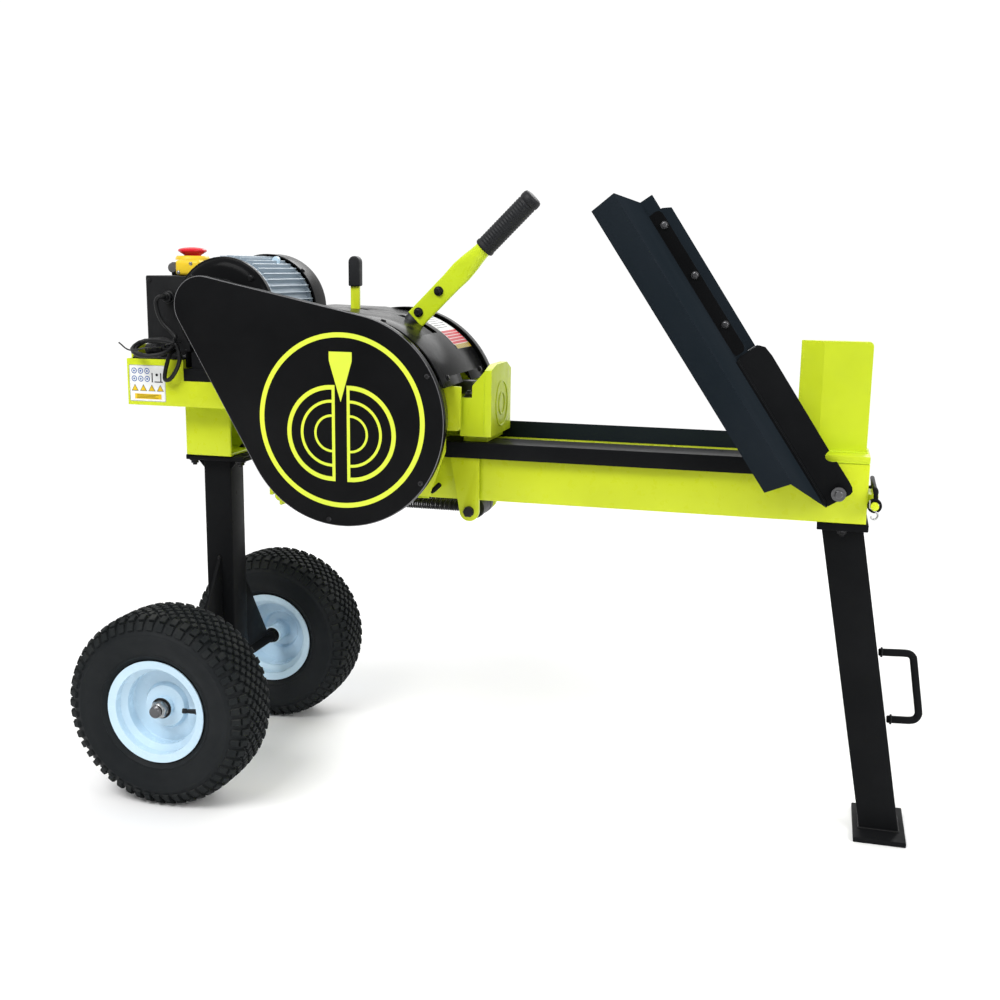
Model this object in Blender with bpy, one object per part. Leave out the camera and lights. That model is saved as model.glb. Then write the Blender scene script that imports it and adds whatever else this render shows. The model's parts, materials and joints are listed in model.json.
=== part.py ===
"""Kinetic log splitter: every named piece of the machine, in one frame, in metres.

X runs along the splitting beam towards the wedge, Z is up, and the origin is on the
ground straight below the wheel axle, half-way between the two wheels.
"""

import math

import bmesh
import bpy
from mathutils import Matrix, Vector

# Wheels and axle
TYRE_RADIUS = 0.165
WHEEL_TRACK_HALF = 0.213
AXLE_RADIUS = 0.010
AXLE_END = 0.262

# Beam, rails and wedge
BEAM_REAR = 0.1367
BEAM_FRONT = 1.1005
BEAM_HALF_WIDTH = 0.050
BEAM_BOTTOM = 0.5105
BEAM_TOP = 0.6045
BEAM_WALL = 0.004
WEDGE_EDGE = 0.988
WEDGE_BACK = 1.0955
WEDGE_TOP = 0.7855
HITCH = (1.1105, 0.5430)

# Flywheel housing
DRIVE_X = 0.2975
DRIVE_Z = 0.6486
HOOD_RADIUS = 0.162
FLYWHEEL_RADIUS = 0.148
SHAFT_RADIUS = 0.015
PINION_TEETH = 12
TOOTH_PITCH = 0.01257
PINION_TIP = 0.028
PINION_ROOT = 0.0195

# Belt drive
MOTOR_X = 0.060
MOTOR_Z = 0.812
MOTOR_RADIUS = 0.090
MOTOR_PULLEY_RADIUS = 0.025
DRIVEN_PULLEY_RADIUS = 0.118
BELT_THICKNESS = 0.006
COVER_SMALL = (0.061, 0.822, 0.047)
COVER_BIG = (DRIVE_X, DRIVE_Z, 0.1685)
CASING_RADIUS = 0.150

# Ram
RAM_FACE = 0.510
RAM_BACK = 0.4577
RAM_BOTTOM = 0.618
RAM_TOP = 0.7335
ROLLER_AXIS = (0.4730, 0.4925)
ROLLER_HALF = 0.030

# Controls
LEVER_FOOT = (0.3598, 0.8012)
LEVER_ANGLE = math.radians(45.0)
LEVER_PIVOT = (0.324, 0.7706)
GUARD_PIVOT = (0.2526, 0.765)

# Leg
LEG_TOP = 0.4985
LEG_BOTTOM = 0.0085

# Log tray
TRAY_PIVOT = (1.0566, 0.5622)
TRAY_ANGLE = math.radians(56.14)
TRAY_BASE = (1.0404, 0.5388)
TRAY_INNER = -0.0740
TRAY_OUTER = -0.3140
TRAY_LENGTH = 0.5395

COLOURS = {
    "lime_paint": (0.62, 0.80, 0.05, 1.0, 0.0, 0.35),
    "black_paint": (0.012, 0.012, 0.013, 1.0, 0.0, 0.38),
    "slate_paint": (0.030, 0.036, 0.045, 1.0, 0.0, 0.35),
    "tyre_rubber": (0.018, 0.018, 0.019, 1.0, 0.0, 0.80),
    "rim_paint": (0.62, 0.74, 0.84, 1.0, 0.0, 0.25),
    "bright_zinc": (0.62, 0.63, 0.64, 1.0, 1.0, 0.30),
    "cast_metal": (0.35, 0.42, 0.48, 1.0, 0.6, 0.45),
    "dark_steel": (0.10, 0.10, 0.11, 1.0, 0.8, 0.45),
    "belt_rubber": (0.020, 0.020, 0.020, 1.0, 0.0, 0.75),
    "grip_rubber": (0.022, 0.022, 0.024, 1.0, 0.0, 0.70),
    "black_plastic": (0.020, 0.020, 0.022, 1.0, 0.0, 0.45),
    "stop_red": (0.70, 0.02, 0.02, 1.0, 0.0, 0.30),
    "switch_yellow": (0.85, 0.58, 0.03, 1.0, 0.0, 0.35),
}


def clear_scene():
    """Remove whatever objects the new file starts with."""
    for item in list(bpy.data.objects):
        bpy.data.objects.remove(item, do_unlink=True)


def material_for(node, kind):
    """Make the Principled material that belongs to one node."""
    red, green, blue, alpha, metallic, roughness = COLOURS[kind]
    surface = bpy.data.materials.new(node)
    surface.use_nodes = True
    shader = surface.node_tree.nodes["Principled BSDF"]
    shader.inputs["Base Color"].default_value = (red, green, blue, alpha)
    shader.inputs["Metallic"].default_value = metallic
    shader.inputs["Roughness"].default_value = roughness
    surface.diffuse_color = (red, green, blue, alpha)
    return surface


def body(node, kind, corners, faces):
    """Link a closed mesh built from corner points and faces, and return its object."""
    mesh = bpy.data.meshes.new(node)
    mesh.from_pydata([tuple(corner) for corner in corners], [], faces)
    work = bmesh.new()
    work.from_mesh(mesh)
    bmesh.ops.remove_doubles(work, verts=work.verts, dist=0.00001)
    bmesh.ops.recalc_face_normals(work, faces=work.faces)
    work.to_mesh(mesh)
    work.free()
    item = bpy.data.objects.new(node, mesh)
    bpy.context.scene.collection.objects.link(item)
    mesh.materials.append(material_for(node, kind))
    return item


def finish(item, pivot=None):
    """Shade an object by edge angle and, for a moving piece, put its origin on the axis."""
    mesh = item.data
    if pivot is not None:
        mesh.transform(Matrix.Translation(-Vector(pivot)))
        item.location = pivot
    for face in mesh.polygons:
        face.use_smooth = True
        face.material_index = 0
    mesh.set_sharp_from_angle(angle=math.radians(32.0))
    return item


def shape(target, tool, operation):
    """Cut a tool out of a target, or join it on, and drop the tool."""
    modifier = target.modifiers.new("shape", "BOOLEAN")
    modifier.operation = operation
    modifier.solver = "EXACT"
    modifier.object = tool
    graph = bpy.context.evaluated_depsgraph_get()
    graph.update()
    result = bpy.data.meshes.new_from_object(target.evaluated_get(graph))
    target.modifiers.clear()
    surface = target.data.materials[0]
    spare = tool.data.materials[0]
    result.materials.clear()
    result.materials.append(surface)
    target.data = result
    bpy.data.objects.remove(tool, do_unlink=True)
    if spare is not surface:
        bpy.data.materials.remove(spare)
    return target


def cut(target, *tools):
    """Cut each tool out of the target."""
    for tool in tools:
        shape(target, tool, "DIFFERENCE")
    return target


def join(target, *tools):
    """Join each tool onto the target."""
    for tool in tools:
        shape(target, tool, "UNION")
    return target


def box(node, kind, x_span, y_span, z_span):
    """A plain block."""
    corners = [(x, y, z) for x in x_span for y in y_span for z in z_span]
    faces = [(0, 1, 3, 2), (4, 6, 7, 5), (0, 4, 5, 1), (2, 3, 7, 6), (0, 2, 6, 4), (1, 5, 7, 3)]
    return body(node, kind, corners, faces)


def prism_y(node, kind, outline, y_start, y_end):
    """An outline of (x, z) points pushed along Y."""
    count = len(outline)
    corners = [(x, y_start, z) for x, z in outline] + [(x, y_end, z) for x, z in outline]
    faces = [tuple(range(count)), tuple(range(2 * count - 1, count - 1, -1))]
    faces += [(i, (i + 1) % count, count + (i + 1) % count, count + i) for i in range(count)]
    return body(node, kind, corners, faces)


def prism_x(node, kind, outline, x_start, x_end):
    """An outline of (y, z) points pushed along X."""
    count = len(outline)
    corners = [(x_start, y, z) for y, z in outline] + [(x_end, y, z) for y, z in outline]
    faces = [tuple(range(count)), tuple(range(2 * count - 1, count - 1, -1))]
    faces += [(i, (i + 1) % count, count + (i + 1) % count, count + i) for i in range(count)]
    return body(node, kind, corners, faces)


def ring_y(node, kind, outer, inner, y_start, y_end):
    """Two matching (x, z) loops pushed along Y, with the space between them filled."""
    count = len(outer)
    corners = []
    for y in (y_start, y_end):
        corners += [(x, y, z) for x, z in outer] + [(x, y, z) for x, z in inner]
    faces = []
    for i in range(count):
        j = (i + 1) % count
        faces.append((i, j, count + j, count + i))
        faces.append((2 * count + i, 3 * count + i, 3 * count + j, 2 * count + j))
        faces.append((i, 2 * count + i, 2 * count + j, j))
        faces.append((count + i, count + j, 3 * count + j, 3 * count + i))
    return body(node, kind, corners, faces)


def lathe(node, kind, profile, steps, place=(0.0, 0.0, 0.0), direction=(0.0, 1.0, 0.0)):
    """Turn a closed (radius, along) profile about a line through place."""
    along = Vector(direction).normalized()
    turn = Vector((0.0, 1.0, 0.0)).rotation_difference(along).to_matrix()
    corners = []
    rows = []
    for radius, distance in profile:
        row = []
        if radius < 0.000001:
            row = [len(corners)] * steps
            corners.append(Vector(place) + turn @ Vector((0.0, distance, 0.0)))
        else:
            for step in range(steps):
                angle = 2.0 * math.pi * step / steps
                spot = Vector((radius * math.cos(angle), distance, radius * math.sin(angle)))
                row.append(len(corners))
                corners.append(Vector(place) + turn @ spot)
        rows.append(row)
    faces = []
    for one in range(len(rows)):
        two = (one + 1) % len(rows)
        for step in range(steps):
            following = (step + 1) % steps
            ring = [rows[one][step], rows[one][following], rows[two][following], rows[two][step]]
            unique = list(dict.fromkeys(ring))
            if len(unique) > 2:
                faces.append(tuple(unique))
    return body(node, kind, corners, faces)


def rod_y(node, kind, x, z, radius, y_start, y_end, steps=24):
    """A round bar along Y."""
    profile = [(0.0, y_start), (radius, y_start), (radius, y_end), (0.0, y_end)]
    return lathe(node, kind, profile, steps, (x, 0.0, z))


def bar(node, kind, path, radius, steps=12):
    """A round bar along a path of points, with flat ends."""
    points = [Vector(point) for point in path]
    corners = []
    side = None
    for index, point in enumerate(points):
        before = points[max(index - 1, 0)]
        after = points[min(index + 1, len(points) - 1)]
        heading = (after - before).normalized()
        if side is None:
            guide = Vector((0.0, 1.0, 0.0)) if abs(heading.y) < 0.9 else Vector((1.0, 0.0, 0.0))
            side = heading.cross(guide).normalized()
        side = (side - heading * side.dot(heading)).normalized()
        upward = heading.cross(side)
        for step in range(steps):
            angle = 2.0 * math.pi * step / steps
            corners.append(point + side * (radius * math.cos(angle)) + upward * (radius * math.sin(angle)))
    faces = [tuple(range(steps))]
    for index in range(len(points) - 1):
        base = index * steps
        for step in range(steps):
            following = (step + 1) % steps
            faces.append((base + step, base + following, base + steps + following, base + steps + step))
    last = (len(points) - 1) * steps
    faces.append(tuple(range(last + steps - 1, last - 1, -1)))
    return body(node, kind, corners, faces)


def arc(centre, radius, start, end, steps):
    """Points on a circle from one angle to another, in degrees."""
    spots = []
    for step in range(steps + 1):
        angle = math.radians(start + (end - start) * step / steps)
        spots.append((centre[0] + radius * math.cos(angle), centre[1] + radius * math.sin(angle)))
    return spots


def teardrop(inset):
    """The outline round a small circle and a big one, moved in by an inset."""
    small_x, small_z, small_r = COVER_SMALL
    big_x, big_z, big_r = COVER_BIG
    return hull((small_x, small_z), small_r - inset, (big_x, big_z), big_r - inset, 14, 30)


def casing(inset):
    """The narrower outline of the pan behind the cover, moved in by an inset."""
    small_x, small_z, small_r = COVER_SMALL
    small = (small_x, small_z)
    return hull(small, small_r - 0.0024 - inset, (DRIVE_X, DRIVE_Z), CASING_RADIUS - inset, 14, 30)


def hull(small, small_radius, big, big_radius, small_steps, big_steps):
    """The tight outline round two circles, as one loop of points."""
    gap_x = big[0] - small[0]
    gap_z = big[1] - small[1]
    heading = math.atan2(gap_z, gap_x)
    lean = math.acos((small_radius - big_radius) / math.hypot(gap_x, gap_z))
    upper = math.degrees(heading + lean)
    lower = math.degrees(heading - lean)
    loop = arc(small, small_radius, upper, lower + 360.0, small_steps)
    loop += arc(big, big_radius, lower, upper, big_steps)
    return loop


def tray_point(along, normal, y):
    """A point of the raised tray from its distance along, its height and its Y."""
    cosine = math.cos(TRAY_ANGLE)
    sine = math.sin(TRAY_ANGLE)
    x = TRAY_BASE[0] - along * cosine + normal * sine
    z = TRAY_BASE[1] + along * sine + normal * cosine
    return (x, y, z)


def tray_plate(node, kind, outline, y_start, y_end):
    """A flat plate of the tray from (along, normal) points."""
    count = len(outline)
    corners = [tray_point(along, normal, y_start) for along, normal in outline]
    corners += [tray_point(along, normal, y_end) for along, normal in outline]
    faces = [tuple(range(count)), tuple(range(2 * count - 1, count - 1, -1))]
    faces += [(i, (i + 1) % count, count + (i + 1) % count, count + i) for i in range(count)]
    return body(node, kind, corners, faces)


def build_wheels():
    """Two wheels on a fixed axle, each with a tyre, a dished rim and an end nut."""
    tyre = [(0.1650, -0.024), (0.1650, 0.024), (0.1622, 0.040), (0.1535, 0.0530), (0.1390, 0.0588)]
    tyre += [(0.1200, 0.0588), (0.0960, 0.0520), (0.0880, 0.0446), (0.0768, 0.0442), (0.0768, 0.0330)]
    tyre += [(0.0880, 0.0320), (0.1100, 0.0470), (0.1400, 0.0490), (0.1550, 0.0330)]
    tyre += [(radius, -along) for radius, along in reversed(tyre[2:])]
    rim = [(0.0866, -0.0490), (0.0866, -0.0465), (0.0762, -0.0446), (0.0762, -0.0320), (0.0660, -0.0260)]
    rim += [(0.0660, 0.0260), (0.0762, 0.0320), (0.0762, 0.0446), (0.0866, 0.0465), (0.0866, 0.0490)]
    rim += [(0.0737, 0.0465), (0.0737, 0.0335), (0.0635, 0.0275), (0.0635, -0.0050), (0.0370, -0.0070)]
    rim += [(0.0340, -0.0140), (0.0175, -0.0140), (0.0175, 0.0320), (0.0103, 0.0320), (0.0103, -0.0300)]
    rim += [(0.0175, -0.0300), (0.0175, -0.0170), (0.0360, -0.0165), (0.0395, -0.0090), (0.0635, -0.0085)]
    rim += [(0.0635, -0.0275), (0.0737, -0.0335), (0.0737, -0.0465)]
    for side, sign in (("near", -1.0), ("far", 1.0)):
        place = (0.0, sign * WHEEL_TRACK_HALF, TYRE_RADIUS)
        flip = -sign
        finish(lathe("tyre_" + side, "tyre_rubber", tyre, 36, place), place)
        turned = [(radius, flip * along) for radius, along in rim]
        finish(lathe("rim_" + side, "rim_paint", turned, 30, place), place)
        nut_in = sign * (WHEEL_TRACK_HALF + 0.0308)
        nut_out = sign * (WHEEL_TRACK_HALF + 0.0438)
        outer = arc((0.0, TYRE_RADIUS), 0.0170, 0.0, 300.0, 5)
        inner = arc((0.0, TYRE_RADIUS), 0.0103, 0.0, 300.0, 5)
        inner = [(x, z) for x, z in inner]
        nut = prism_y("hub_nut_" + side, "bright_zinc", outer, min(nut_in, nut_out), max(nut_in, nut_out))
        bore = rod_y("bore", "bright_zinc", 0.0, TYRE_RADIUS, 0.0103, sign * 0.23, sign * 0.27, 20)
        finish(cut(nut, bore), (0.0, sign * WHEEL_TRACK_HALF, TYRE_RADIUS))


def build_undercarriage():
    """The axle with its ribs, the square post and the bracket it carries."""
    axle = rod_y("axle", "black_paint", 0.0, TYRE_RADIUS, AXLE_RADIUS, -AXLE_END, AXLE_END, 20)
    boss = box("boss", "black_paint", (-0.0257, 0.0257), (-0.030, 0.030), (0.150, 0.180))
    join(axle, boss)
    for sign in (-1.0, 1.0):
        rib = [(sign * 0.0262, 0.3720), (sign * 0.0262, 0.1700), (sign * 0.1560, 0.1700), (sign * 0.1560, 0.1780)]
        join(axle, prism_x("rib", "black_paint", rib, -0.003, 0.003))
    finish(axle)
    post = box("post", "black_paint", (-0.0257, 0.0257), (-0.0257, 0.0257), (0.1803, 0.5500))
    plate = box("plate", "black_paint", (-0.050, 0.062), (-0.045, 0.045), (0.5490, 0.5585))
    join(post, plate)
    hollow = box("hollow", "black_paint", (-0.0227, 0.0227), (-0.0227, 0.0227), (0.1700, 0.5440))
    finish(cut(post, hollow))
    bracket = box("post_bracket", "lime_paint", (-0.045, 0.040), (-0.050, 0.050), (0.5588, 0.6470))
    well = box("well", "lime_paint", (-0.040, 0.050), (-0.045, 0.045), (0.5638, 0.6600))
    finish(cut(bracket, well))


def build_platform():
    """The open channel that carries the motor and the switch box."""
    deck = box("rear_platform", "lime_paint", (-0.130, 0.130), (-0.090, 0.090), (0.6475, 0.7265))
    cut(deck, box("well", "lime_paint", (-0.126, 0.140), (-0.086, 0.086), (0.6515, 0.7400)))
    cut(deck, box("notch", "lime_paint", (-0.0235, 0.140), (-0.100, 0.100), (0.6911, 0.7400)))
    tab = [(-0.075, 0.700), (0.075, 0.700)] + arc((0.063, 0.7355), 0.012, 0.0, 90.0, 5)
    tab += arc((-0.063, 0.7355), 0.012, 90.0, 180.0, 5)
    join(deck, prism_x("tab", "lime_paint", tab, -0.1298, -0.1262))
    finish(deck)


def build_housing():
    """The side plates, cross plate, bearings and guards round the flywheels."""
    outline = [(BEAM_REAR, 0.5165), (0.4090, 0.5165), (0.4370, 0.5925), (0.4370, 0.6276)]
    outline += arc((0.4550, 0.6351), 0.0075, -90.0, 0.0, 4)
    outline += [(0.4625, 0.6990), (0.4300, 0.7010), (0.4000, 0.7400), (0.3500, 0.7800), (0.2500, 0.7850)]
    outline += [(0.1800, 0.7450), (0.1500, 0.7000), (BEAM_REAR, 0.6900)]
    for side, sign in (("near", -1.0), ("far", 1.0)):
        inside = sign * 0.072
        outside = sign * 0.078
        plate = prism_y("housing_plate_" + side, "lime_paint", outline, min(inside, outside), max(inside, outside))
        for x, z, radius in ((DRIVE_X, DRIVE_Z, 0.0160), (LEVER_PIVOT[0], LEVER_PIVOT[1], 0.0085)):
            cut(plate, rod_y("bore", "lime_paint", x, z, radius, sign * 0.06, sign * 0.09, 20))
        cut(plate, rod_y("bore", "lime_paint", GUARD_PIVOT[0], GUARD_PIVOT[1], 0.0065, sign * 0.06, sign * 0.09, 16))
        finish(plate)
        near = sign * 0.0783
        far = sign * 0.0885
        ring = [(0.0155, near), (0.038, near), (0.038, sign * 0.083), (0.026, far), (0.0155, far)]
        finish(lathe("bearing_" + side, "dark_steel", ring, 28, (DRIVE_X, 0.0, DRIVE_Z)))
    cross = box("housing_cross_plate", "lime_paint", (0.1303, 0.1363), (-0.0897, 0.0897), (0.4805, 0.7200))
    cut(cross, box("window", "lime_paint", (0.12, 0.15), (-0.020, 0.020), (0.665, 0.730)))
    knob = [(0.1315, 0.4820), (0.1315, 0.5080), (0.1120, 0.5080)] + arc((0.1120, 0.4950), 0.0130, 90.0, 270.0, 8)
    join(cross, prism_y("knob", "lime_paint", knob, -0.048, 0.048))
    finish(cross)
    hood_outer = arc((DRIVE_X, DRIVE_Z), HOOD_RADIUS, 19.0, 78.0, 20)
    hood_outer += [(0.2620, 0.8165), (0.1630, 0.8185), (0.1585, 0.8140), (0.1585, 0.7420)]
    hood_inner = arc((DRIVE_X, DRIVE_Z), HOOD_RADIUS - 0.002, 19.0, 78.0, 20)
    hood_inner += [(0.2620, 0.8145), (0.1640, 0.8165), (0.1605, 0.8130), (0.1605, 0.7420)]
    hood = prism_y("flywheel_hood", "black_paint", hood_outer + hood_inner[::-1], -0.1315, 0.1247)
    cut(hood, box("slot", "black_paint", (0.331, 0.393), (-0.009, 0.016), (0.700, 0.850)))
    cut(hood, box("slot", "black_paint", (0.400, 0.500), (-0.070, 0.070), (0.650, 0.7360)))
    cut(hood, box("slot", "black_paint", (0.238, 0.277), (-0.006, 0.006), (0.700, 0.850)))
    finish(hood)
    cup = [(0.0, 0.1455), (0.1665, 0.1455), (0.1685, 0.1435), (0.1685, 0.1250), (0.1665, 0.1250)]
    cup += [(0.1665, 0.1430), (0.0, 0.1430)]
    finish(lathe("far_guard", "black_paint", cup, 48, (DRIVE_X, 0.0, DRIVE_Z)))


def build_belt_drive():
    """Motor, pulleys, belt and the teardrop cover over them."""
    count = 32
    fins = []
    for index in range(count):
        for step, radius in ((0.00, 0.082), (0.30, 0.082), (0.42, MOTOR_RADIUS), (0.88, MOTOR_RADIUS)):
            angle = 2.0 * math.pi * (index + step) / count
            fins.append((MOTOR_X + radius * math.cos(angle), MOTOR_Z + radius * math.sin(angle)))
    finish(prism_y("motor_body", "cast_metal", fins, -0.0880, 0.0700))
    bell = [(0.0128, -0.1160), (0.030, -0.1160), (0.034, -0.1120), (0.070, -0.1080), (0.083, -0.1030)]
    bell += [(0.086, -0.0980), (0.086, -0.0883), (0.0128, -0.0883)]
    finish(lathe("motor_end_bell", "black_paint", bell, 32, (MOTOR_X, 0.0, MOTOR_Z)))
    cowl = [(0.0912, 0.0660), (0.0935, 0.0660), (0.0935, 0.1120), (0.0900, 0.1210), (0.0820, 0.1250), (0.0, 0.1250)]
    cowl += [(0.0, 0.0703), (0.060, 0.0703), (0.060, 0.0850), (0.0912, 0.0850)]
    finish(lathe("motor_fan_cowl", "black_paint", cowl, 32, (MOTOR_X, 0.0, MOTOR_Z)))
    foot = box("motor_foot", "black_paint", (-0.0232, 0.1295), (-0.0897, 0.0897), (0.6914, 0.7120))
    join(foot, box("saddle", "black_paint", (-0.0100, 0.1290), (-0.0850, 0.0630), (0.7100, 0.7400)))
    cut(foot, rod_y("bed", "black_paint", MOTOR_X, MOTOR_Z, 0.0903, -0.10, 0.10, 64))
    cut(foot, box("groove", "black_paint", (-0.10, 0.20), (-0.018, 0.018), (0.650, 0.7080)))
    finish(foot)

    pulley = [(0.0, -0.1720), (0.0120, -0.1720), (0.0120, -0.1665), (0.029, -0.1665), (0.029, -0.1660)]
    pulley += [(MOTOR_PULLEY_RADIUS, -0.1650), (MOTOR_PULLEY_RADIUS, -0.1550), (0.029, -0.1530)]
    pulley += [(0.029, -0.1515), (0.0120, -0.1515), (0.0120, -0.0890), (0.0, -0.0890)]
    axis = (MOTOR_X, -0.160, MOTOR_Z)
    finish(lathe("motor_pulley", "dark_steel", pulley, 32, (MOTOR_X, 0.0, MOTOR_Z)), axis)
    wheel = [(0.0153, -0.1685), (0.030, -0.1660), (0.108, -0.1630), (0.122, -0.1685)]
    wheel += [(DRIVEN_PULLEY_RADIUS, -0.1650), (DRIVEN_PULLEY_RADIUS, -0.1550), (0.122, -0.1515)]
    wheel += [(0.108, -0.1570), (0.030, -0.1540), (0.0153, -0.1515)]
    axis = (DRIVE_X, -0.160, DRIVE_Z)
    finish(lathe("driven_pulley", "dark_steel", wheel, 36, (DRIVE_X, 0.0, DRIVE_Z)), axis)
    small = MOTOR_PULLEY_RADIUS + 0.0003
    big = DRIVEN_PULLEY_RADIUS + 0.0003
    motor = (MOTOR_X, MOTOR_Z)
    drive = (DRIVE_X, DRIVE_Z)
    outer = hull(motor, small + BELT_THICKNESS, drive, big + BELT_THICKNESS, 12, 28)
    inner = hull(motor, small, drive, big, 12, 28)
    finish(ring_y("drive_belt", "belt_rubber", outer, inner, -0.1643, -0.1557))

    cover = prism_y("belt_cover", "black_paint", teardrop(0.0), -0.1800, -0.1680)
    finish(cut(cover, prism_y("inside", "black_paint", teardrop(0.002), -0.1782, -0.1200)))
    plate = prism_y("belt_backplate", "black_paint", casing(0.0), -0.1779, -0.1322)
    cut(plate, prism_y("inside", "black_paint", casing(0.0015), -0.1900, -0.1345))
    cut(plate, rod_y("bore", "black_paint", MOTOR_X, MOTOR_Z, 0.020, -0.15, -0.12, 24))
    finish(cut(plate, rod_y("bore", "black_paint", DRIVE_X, DRIVE_Z, 0.026, -0.15, -0.12, 24)))


def build_flywheels():
    """Two heavy discs and a pinion on one shaft."""
    axis = (DRIVE_X, 0.0, DRIVE_Z)
    for side, sign in (("near", -1.0), ("far", 1.0)):
        inside = sign * 0.0900
        outside = sign * 0.1200
        disc = [(0.0153, inside), (0.040, inside), (0.112, sign * 0.0960), (FLYWHEEL_RADIUS, inside)]
        disc += [(FLYWHEEL_RADIUS, outside), (0.112, sign * 0.1140), (0.040, outside), (0.0153, outside)]
        finish(lathe("flywheel_" + side, "dark_steel", disc, 40, axis), axis)
    shaft = rod_y("flywheel_shaft", "dark_steel", DRIVE_X, DRIVE_Z, SHAFT_RADIUS, -0.1745, 0.1280, 28)
    teeth = []
    for index in range(PINION_TEETH):
        for step, radius in ((0.06, PINION_ROOT), (0.30, PINION_ROOT), (0.48, PINION_TIP), (0.68, PINION_TIP)):
            angle = 2.0 * math.pi * (index + 0.17 + step) / PINION_TEETH
            teeth.append((DRIVE_X + radius * math.cos(angle), DRIVE_Z + radius * math.sin(angle)))
    join(shaft, prism_y("pinion", "dark_steel", teeth, -0.014, 0.014))
    finish(shaft, axis)


def build_beam():
    """The beam, its rails, the wedge and the tow loop at its end."""
    low = BEAM_BOTTOM
    high = BEAM_TOP
    beam = box("beam", "lime_paint", (BEAM_REAR, BEAM_FRONT), (-BEAM_HALF_WIDTH, BEAM_HALF_WIDTH), (low, high))
    inside = BEAM_HALF_WIDTH - BEAM_WALL
    hollow = box("hollow", "lime_paint", (0.1, 1.2), (-inside, inside), (low + BEAM_WALL, high - BEAM_WALL))
    finish(cut(beam, hollow))
    rail = [(-0.0650, 0.5820), (-0.0620, 0.5820), (-0.0620, 0.6048), (0.0060, 0.6048), (0.0060, 0.6078)]
    rail += [(-0.0640, 0.6078), (-0.0650, 0.6068)]
    finish(prism_x("rail_near", "black_paint", rail, 0.4200, 0.9850))
    fence = box("rail_far", "slate_paint", (0.4200, 0.9850), (0.0643, 0.0673), (0.5820, 0.6300))
    join(fence, box("block", "slate_paint", (0.4210, 0.4320), (0.0503, 0.0650), (0.5840, 0.6000)))
    join(fence, box("block", "slate_paint", (0.9350, 0.9600), (0.0503, 0.0650), (0.5840, 0.6000)))
    finish(fence)
    span = (-BEAM_HALF_WIDTH, BEAM_HALF_WIDTH)
    finish(box("wedge_base", "lime_paint", (0.9900, BEAM_FRONT), span, (high + 0.0003, 0.6150)))
    blade = [(WEDGE_EDGE, 0.0), (1.0230, -0.0100), (WEDGE_BACK, -0.0100), (WEDGE_BACK, 0.0100), (1.0230, 0.0100)]
    count = len(blade)
    corners = [(x, y, 0.6153) for x, y in blade] + [(x, y, WEDGE_TOP) for x, y in blade]
    faces = [tuple(range(count)), tuple(range(2 * count - 1, count - 1, -1))]
    faces += [(i, (i + 1) % count, count + (i + 1) % count, count + i) for i in range(count)]
    wedge = body("wedge_blade", "lime_paint", corners, faces)
    corner = [(WEDGE_BACK + 0.01, WEDGE_TOP + 0.01), (WEDGE_BACK - 0.007, WEDGE_TOP + 0.01)]
    corner += arc((WEDGE_BACK - 0.007, WEDGE_TOP - 0.007), 0.007, 90.0, 0.0, 5)
    corner += [(WEDGE_BACK + 0.01, WEDGE_TOP - 0.007)]
    finish(cut(wedge, prism_y("corner", "lime_paint", corner, -0.02, 0.02)))
    lug = box("hitch_rod", "lime_paint", (BEAM_FRONT + 0.0003, 1.1170), (-0.028, 0.028), (0.5320, 0.5540))
    finish(join(lug, rod_y("rod", "lime_paint", HITCH[0], HITCH[1], 0.0063, -0.0700, 0.0700, 16)))
    loop_path = [(1.1120, -0.0600, 0.5510), (1.1110, -0.0600, 0.5610), (1.1100, -0.0580, 0.5655)]
    loop_path += [(1.1095, -0.0530, 0.5675), (1.1095, 0.0530, 0.5675), (1.1100, 0.0580, 0.5655)]
    loop_path += [(1.1110, 0.0600, 0.5610), (1.1120, 0.0600, 0.5510)]
    loop = bar("tow_loop", "black_paint", loop_path, 0.0035, 10)
    for sign in (-1.0, 1.0):
        eye = [(0.0068, -0.004), (0.0108, -0.004), (0.0108, 0.004), (0.0068, 0.004)]
        join(loop, lathe("eye", "black_paint", eye, 16, (HITCH[0], sign * 0.060, HITCH[1])))
    finish(loop, (HITCH[0], 0.0, HITCH[1]))


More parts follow.
